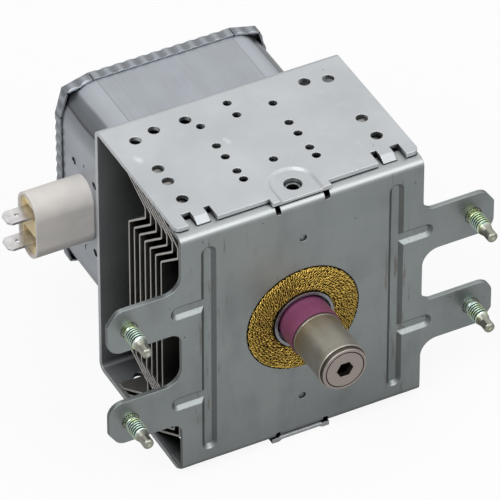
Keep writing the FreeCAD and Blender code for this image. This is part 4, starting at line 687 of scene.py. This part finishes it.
def knit_tree(material):
    """Wires in a flat spiral that wave in and out and up and down, like a crushed knit's rows."""
    tree = bpy.data.node_groups.new("knitted_ring", "GeometryNodeTree")
    face = tree.interface
    for name in ("Inner Radius", "Outer Radius", "Rows", "Pitch", "Height", "Shift"):
        face.new_socket(name, in_out="INPUT", socket_type="NodeSocketFloat")
    face.new_socket("Mesh", in_out="OUTPUT", socket_type="NodeSocketGeometry")
    given = add(tree, "NodeGroupInput").outputs
    inner, outer = given["Inner Radius"], given["Outer Radius"]

    def local_noise(size, detail):
        """Noise at each place along the wire."""
        return add(tree, "ShaderNodeTexNoise", {"noise_dimensions": "3D"}, {
            "Vector": place, "Scale": 1 / size, "Detail": detail}).outputs

    spiral = add(tree, "GeometryNodeCurveSpiral", None, {
        "Resolution": SPIRAL_STEPS, "Rotations": given["Rows"], "Height": 0.0,
        "Start Radius": figure(tree, "SUBTRACT", inner, ROW_SPACING),
        "End Radius": figure(tree, "ADD", outer, ROW_SPACING)})
    place = add(tree, "GeometryNodeInputPosition")
    outward = direction(tree, "NORMALIZE", place)
    radius = direction(tree, "LENGTH", place).outputs["Value"]
    length = add(tree, "GeometryNodeSplineParameter").outputs["Length"]

    # How far along its wave the wire is at each place.
    slack = local_noise(SLACK_SIZE, 1.0)["Fac"]
    wander = figure(tree, "MULTIPLY_ADD", slack, SLACK_TURN, given["Shift"])
    turns = figure(tree, "DIVIDE", length, given["Pitch"])
    phase = figure(tree, "MULTIPLY_ADD", turns, 2 * math.pi, wander)

    # In and out, held between the two radii.
    held = figure(tree, "MAXIMUM", figure(tree, "MINIMUM", radius, outer), inner)
    across = figure(tree, "MULTIPLY_ADD", figure(tree, "SINE", phase), COIL_RADIUS,
                    figure(tree, "SUBTRACT", held, radius))
    swing = add(tree, "ShaderNodeVectorMath", {"operation": "SCALE"}, {
        0: outward, "Scale": across})

    # Up and down, over a dome that falls to both rims.
    middle = figure(tree, "MULTIPLY", figure(tree, "ADD", inner, outer), 0.5)
    reach = figure(tree, "SUBTRACT", outer, middle)
    off_middle = figure(tree, "DIVIDE", figure(tree, "SUBTRACT", held, middle), reach)
    share = figure(tree, "ABSOLUTE", off_middle)
    dome = figure(tree, "MULTIPLY_ADD", figure(tree, "POWER", share, DOME_POWER), -DOME_DROP,
                  given["Height"])
    height = figure(tree, "MULTIPLY_ADD", figure(tree, "COSINE", phase), COIL_HEIGHT, dome)

    # Astray a little, and then grown into wires.
    jitter = direction(tree, "SUBTRACT", local_noise(STRAY_SIZE, 0.0)["Color"], NOISE_MEAN)
    stray = direction(tree, "MULTIPLY", jitter, STRAY_REACH)
    raised = add(tree, "ShaderNodeCombineXYZ", None, {"Z": height})
    moved = direction(tree, "ADD", direction(tree, "ADD", swing, raised), stray)
    waved = add(tree, "GeometryNodeSetPosition", None, {"Geometry": spiral, "Offset": moved})
    outline = add(tree, "GeometryNodeCurvePrimitiveCircle", None, {
        "Resolution": WIRE_SIDES, "Radius": WIRE_RADIUS})
    wires = add(tree, "GeometryNodeCurveToMesh", None, {
        "Curve": waved, "Profile Curve": outline, "Fill Caps": True})
    solid = add(tree, "GeometryNodeRealizeInstances", None, {0: wires})
    painted = add(tree, "GeometryNodeSetMaterial", None, {"Geometry": solid, "Material": material})
    add(tree, "NodeGroupOutput", None, {0: painted})
    return tree


def grown_mesh(name, tree, values):
    """The mesh that a Geometry Nodes tree makes with these inputs."""
    seed = new_object(name, bpy.data.meshes.new(name))
    modifier = seed.modifiers.new(name, "NODES")
    modifier.node_group = tree
    for socket in tree.interface.items_tree:
        if socket.in_out == "INPUT":
            modifier[socket.identifier] = values[socket.name]
    evaluated = seed.evaluated_get(bpy.context.evaluated_depsgraph_get())
    mesh = bpy.data.meshes.new_from_object(evaluated)
    bpy.data.objects.remove(seed)
    return mesh


def make_gasket():
    """Three layers of waving wire over the core."""
    low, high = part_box("mesh_gasket")
    new_piece("gasket_core", gasket_core(), "brass_mesh", "mesh_gasket")
    tree = knit_tree(slot_materials["brass_mesh"])
    outer = (high.x - low.x) / 2 - KNIT_INSET
    for layer, (rows, pitch, depth, shift) in enumerate(KNIT_LAYERS, start=1):
        mesh = grown_mesh("gasket_knit_%d" % layer, tree, {
            "Inner Radius": KNIT_INNER, "Outer Radius": outer, "Rows": rows,
            "Pitch": pitch * MM, "Height": -low.y - (depth + KNIT_RELIEF) * MM, "Shift": shift})
        mesh.transform(Matrix.Rotation(math.radians(90), 4, "X"))
        new_piece("gasket_knit_%d" % layer, mesh, "brass_mesh", "mesh_gasket")


make_gasket()


# Cover: the crimped flutes go on over the two flats of each corner.
COVER_SIDE, COVER_NEAR = 35.1 * MM, 23.9 * MM  # a corner's outer folds, across and up or turned
COVER_MIDDLE = 32.73 * MM  # its middle fold, both ways
FLUTES_ON_FLAT = 2
FLUTE_HEIGHT = 0.35 * MM
FLUTE_SINK = 0.15 * MM  # how far a strip goes into the flat
FLUTE_STEPS = 24
FLUTE_FOOT = 0.1  # share of the height at a flute's two ends
# In from the rim's two edges, to where a flute begins and where it is full.
FLUTE_FRONT, FLUTE_FRONT_TOP = 0.1 * MM, 0.4 * MM
FLUTE_BACK, FLUTE_BACK_TOP = 0.5 * MM, 1.0 * MM


def fluted_strip(points, faces, start, end, rows):
    """Add a closed wavy strip that stands on a corner flat, from start to end in X and Z."""
    run = end - start
    outward = Vector((run.y, -run.x)).normalized()
    if outward.dot(start) < 0:
        outward = -outward
    first = len(points)
    for step in range(FLUTE_STEPS + 1):
        share = step / FLUTE_STEPS
        foot = start + run * share
        wave = 0.5 - 0.5 * math.cos(2 * math.pi * FLUTES_ON_FLAT * share)
        section = [(-FLUTE_SINK, rows[0][0]), (-FLUTE_SINK, rows[-1][0])]
        section += [(FLUTE_HEIGHT * wave * lift, y) for y, lift in reversed(rows)]
        for height, place in section:
            spot = foot + outward * height
            points.append((spot.x, place, spot.y))
    count = len(rows) + 2
    last = first + FLUTE_STEPS * count
    for here in range(first, last, count):
        for index in range(count):
            after = (index + 1) % count
            faces.append((here + index, here + after, here + count + after, here + count + index))
    faces.append(tuple(range(first, first + count)))
    faces.append(tuple(range(last + count - 1, last - 1, -1)))


def make_corner_flutes():
    """Eight wavy strips, two at each corner of the cover's rim."""
    low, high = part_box("filter_cover")
    rows = [(low.y + FLUTE_FRONT, FLUTE_FOOT), (low.y + FLUTE_FRONT_TOP, 1.0),
            (high.y - FLUTE_BACK_TOP, 1.0), (high.y - FLUTE_BACK, FLUTE_FOOT)]
    middle = (low + high) / 2
    points, faces = [], []
    for right in (-1, 1):
        for up in (-1, 1):
            corner = Vector((right * COVER_MIDDLE, up * COVER_MIDDLE))
            for side, rise in ((COVER_SIDE, COVER_NEAR), (COVER_NEAR, COVER_SIDE)):
                fluted_strip(points, faces, Vector((right * side, up * rise)), corner, rows)
    points = [(x + middle.x, y, z + middle.z) for x, y, z in points]
    mesh = new_mesh("cover_corner_flutes", points, faces, crimped_rim)
    builder = bmesh.new()
    builder.from_mesh(mesh)
    bmesh.ops.recalc_face_normals(builder, faces=builder.faces)
    builder.to_mesh(mesh)
    builder.free()
    flutes = new_object("cover_corner_flutes", mesh)
    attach(flutes, "root")


make_corner_flutes()


# Stage: a pale floor, a white surround and soft lamps.
FLOOR_REACH = 6.0
FLOOR_GAP = 0.2 * MM
FLOOR_WHITE = 0.9  # share of pure white that the camera sees
FLOOR_MIRRORED = 0.1  # and how much of that share metal sees
FLOOR_BOUNCE = 0.65  # how much the floor is dimmed for light that it bounces
# How much it is dimmed in metal, as painted shade to the right and behind and as a painted shadow
# near the object's front: from place to place in metres, and from share to share.
DIMMED_RIGHT = (0.04, 0.13, 0.22, 0.38)
DIMMED_NEAR = (-0.1, -0.01, 0.0, 0.18)
DIMMED_BEHIND = (0.05, 0.09, 0.0, -0.3)
# The surround: the cosines from these directions, or the height, and the strengths they give.
LIGHT_FROM, LIGHT_FALL = (0.5, -0.1, 0.86), (-0.3, 0.9, 0.25, 0.7)
FLAG_AT, FLAG_FALL = (-0.68, 0.7, 0.2), (0.55, 0.95, 1.0, 0.2)
HORIZON_FALL = (0.05, 0.45, 0.1, 1.0)
# Place, size in metres and power in watts.
KEY_LAMP = ((0.62, -1.36, 1.3), 1.5, 10.5)
FILL_LAMP = ((-0.9, -0.5, 1.4), 1.0, 14.0)


def seen_directly(tree, in_mirrors):
    """1 for what the camera or glass looks at, a share for what metal mirrors, else 0."""
    rays = add(tree, "ShaderNodeLightPath").outputs
    first = figure(tree, "MAXIMUM", rays["Is Camera Ray"], rays["Is Transmission Ray"])
    mirrored = figure(tree, "MULTIPLY", rays["Is Glossy Ray"], in_mirrors)
    return figure(tree, "MAXIMUM", first, mirrored)


def make_floor():
    """A floor that looks nearly white, keeps the object's shadow and is dimmer in the metal."""
    reach, level = FLOOR_REACH, cad_box[0].z - FLOOR_GAP
    corners = [(-reach, -reach, level), (reach, -reach, level),
               (reach, reach, level), (-reach, reach, level)]
    material = bpy.data.materials.new("pale_floor")
    floor = new_object("floor", new_mesh("floor", corners, [(0, 1, 2, 3)], material))
    tree = empty_tree(material)
    axes = axes_of(tree, add(tree, "ShaderNodeTexCoord").outputs["Object"])
    rays = add(tree, "ShaderNodeLightPath").outputs
    right = ramp(tree, axes["X"], *DIMMED_RIGHT)
    near = ramp(tree, axes["Y"], *DIMMED_NEAR)
    behind = ramp(tree, axes["Y"], *DIMMED_BEHIND)
    dimmed = figure(tree, "ADD", right, figure(tree, "ADD", near, behind))
    mirrored = figure(tree, "MULTIPLY", rays["Is Glossy Ray"], dimmed)
    bounced = figure(tree, "MULTIPLY_ADD", rays["Is Diffuse Ray"], FLOOR_BOUNCE, mirrored)
    paint = add(tree, "ShaderNodeBsdfDiffuse", None, {
        "Color": blend(tree, bounced, FLOOR_PALE, FLOOR_DIM)})
    white = add(tree, "ShaderNodeEmission", None, {"Color": linear(WHITE), "Strength": 1.0})
    share = figure(tree, "MULTIPLY", seen_directly(tree, FLOOR_MIRRORED), FLOOR_WHITE)
    both = add(tree, "ShaderNodeMixShader", None, {0: share, 1: paint, 2: white})
    add(tree, "ShaderNodeOutputMaterial", None, {"Surface": both})


def make_world():
    """White where the camera looks, flagged behind the box in mirrors, and softer as light."""
    world = bpy.data.worlds.new("studio")
    bpy.context.scene.world = world
    tree = empty_tree(world)
    heading = add(tree, "ShaderNodeTexCoord").outputs["Generated"]
    lit = direction(tree, "DOT_PRODUCT", heading, LIGHT_FROM).outputs["Value"]
    flag = direction(tree, "DOT_PRODUCT", heading, FLAG_AT).outputs["Value"]
    level = axes_of(tree, heading)["Z"]
    mirrored = figure(tree, "MINIMUM", ramp(tree, flag, *FLAG_FALL),
                      ramp(tree, level, *HORIZON_FALL))
    light = add(tree, "ShaderNodeBackground", None, {
        "Color": linear(WHITE), "Strength": ramp(tree, lit, *LIGHT_FALL)})
    shown = add(tree, "ShaderNodeBackground", None, {"Color": linear(WHITE), "Strength": 1.0})
    both = add(tree, "ShaderNodeMixShader", None, {
        0: seen_directly(tree, mirrored), 1: light, 2: shown})
    add(tree, "ShaderNodeOutputWorld", None, {"Surface": both})


def make_lamp(name, place, size, power):
    """A square softbox aimed at the object's middle."""
    data = bpy.data.lights.new(name, "AREA")
    data.shape = "SQUARE"
    data.size = size
    data.energy = power
    lamp = new_object(name, data)
    lamp.location = place
    target = (cad_box[0] + cad_box[1]) / 2
    lamp.rotation_euler = (target - Vector(place)).to_track_quat("-Z", "Y").to_euler()


# Camera, fitted to the plate's, yoke's and studs' places in the photograph.
CAMERA_LENS = 446.29
CAMERA_SENSOR = 36.0
CAMERA_CLIP = (0.05, 50.0)
CAMERA_PLACE = (-0.654385, -1.230133, 1.184587)
CAMERA_RIGHT = (0.887954, -0.459932, -0.000254)
CAMERA_UP = (0.294261, 0.567682, 0.768861)
CAMERA_BACK = (-0.353480, -0.682788, 0.639415)


def make_camera():
    """The photograph's camera: its right, up and back directions turn it."""
    data = bpy.data.cameras.new("photo_camera")
    data.sensor_width = CAMERA_SENSOR
    data.lens = CAMERA_LENS
    data.clip_start, data.clip_end = CAMERA_CLIP
    camera = new_object("photo_camera", data)
    turn = Matrix((CAMERA_RIGHT, CAMERA_UP, CAMERA_BACK)).transposed().to_4x4()
    camera.matrix_world = Matrix.Translation(CAMERA_PLACE) @ turn
    bpy.context.scene.camera = camera


make_floor()
make_world()
make_lamp("key", *KEY_LAMP)
make_lamp("fill", *FILL_LAMP)
make_camera()
bpy.context.scene.view_settings.view_transform = "Standard"
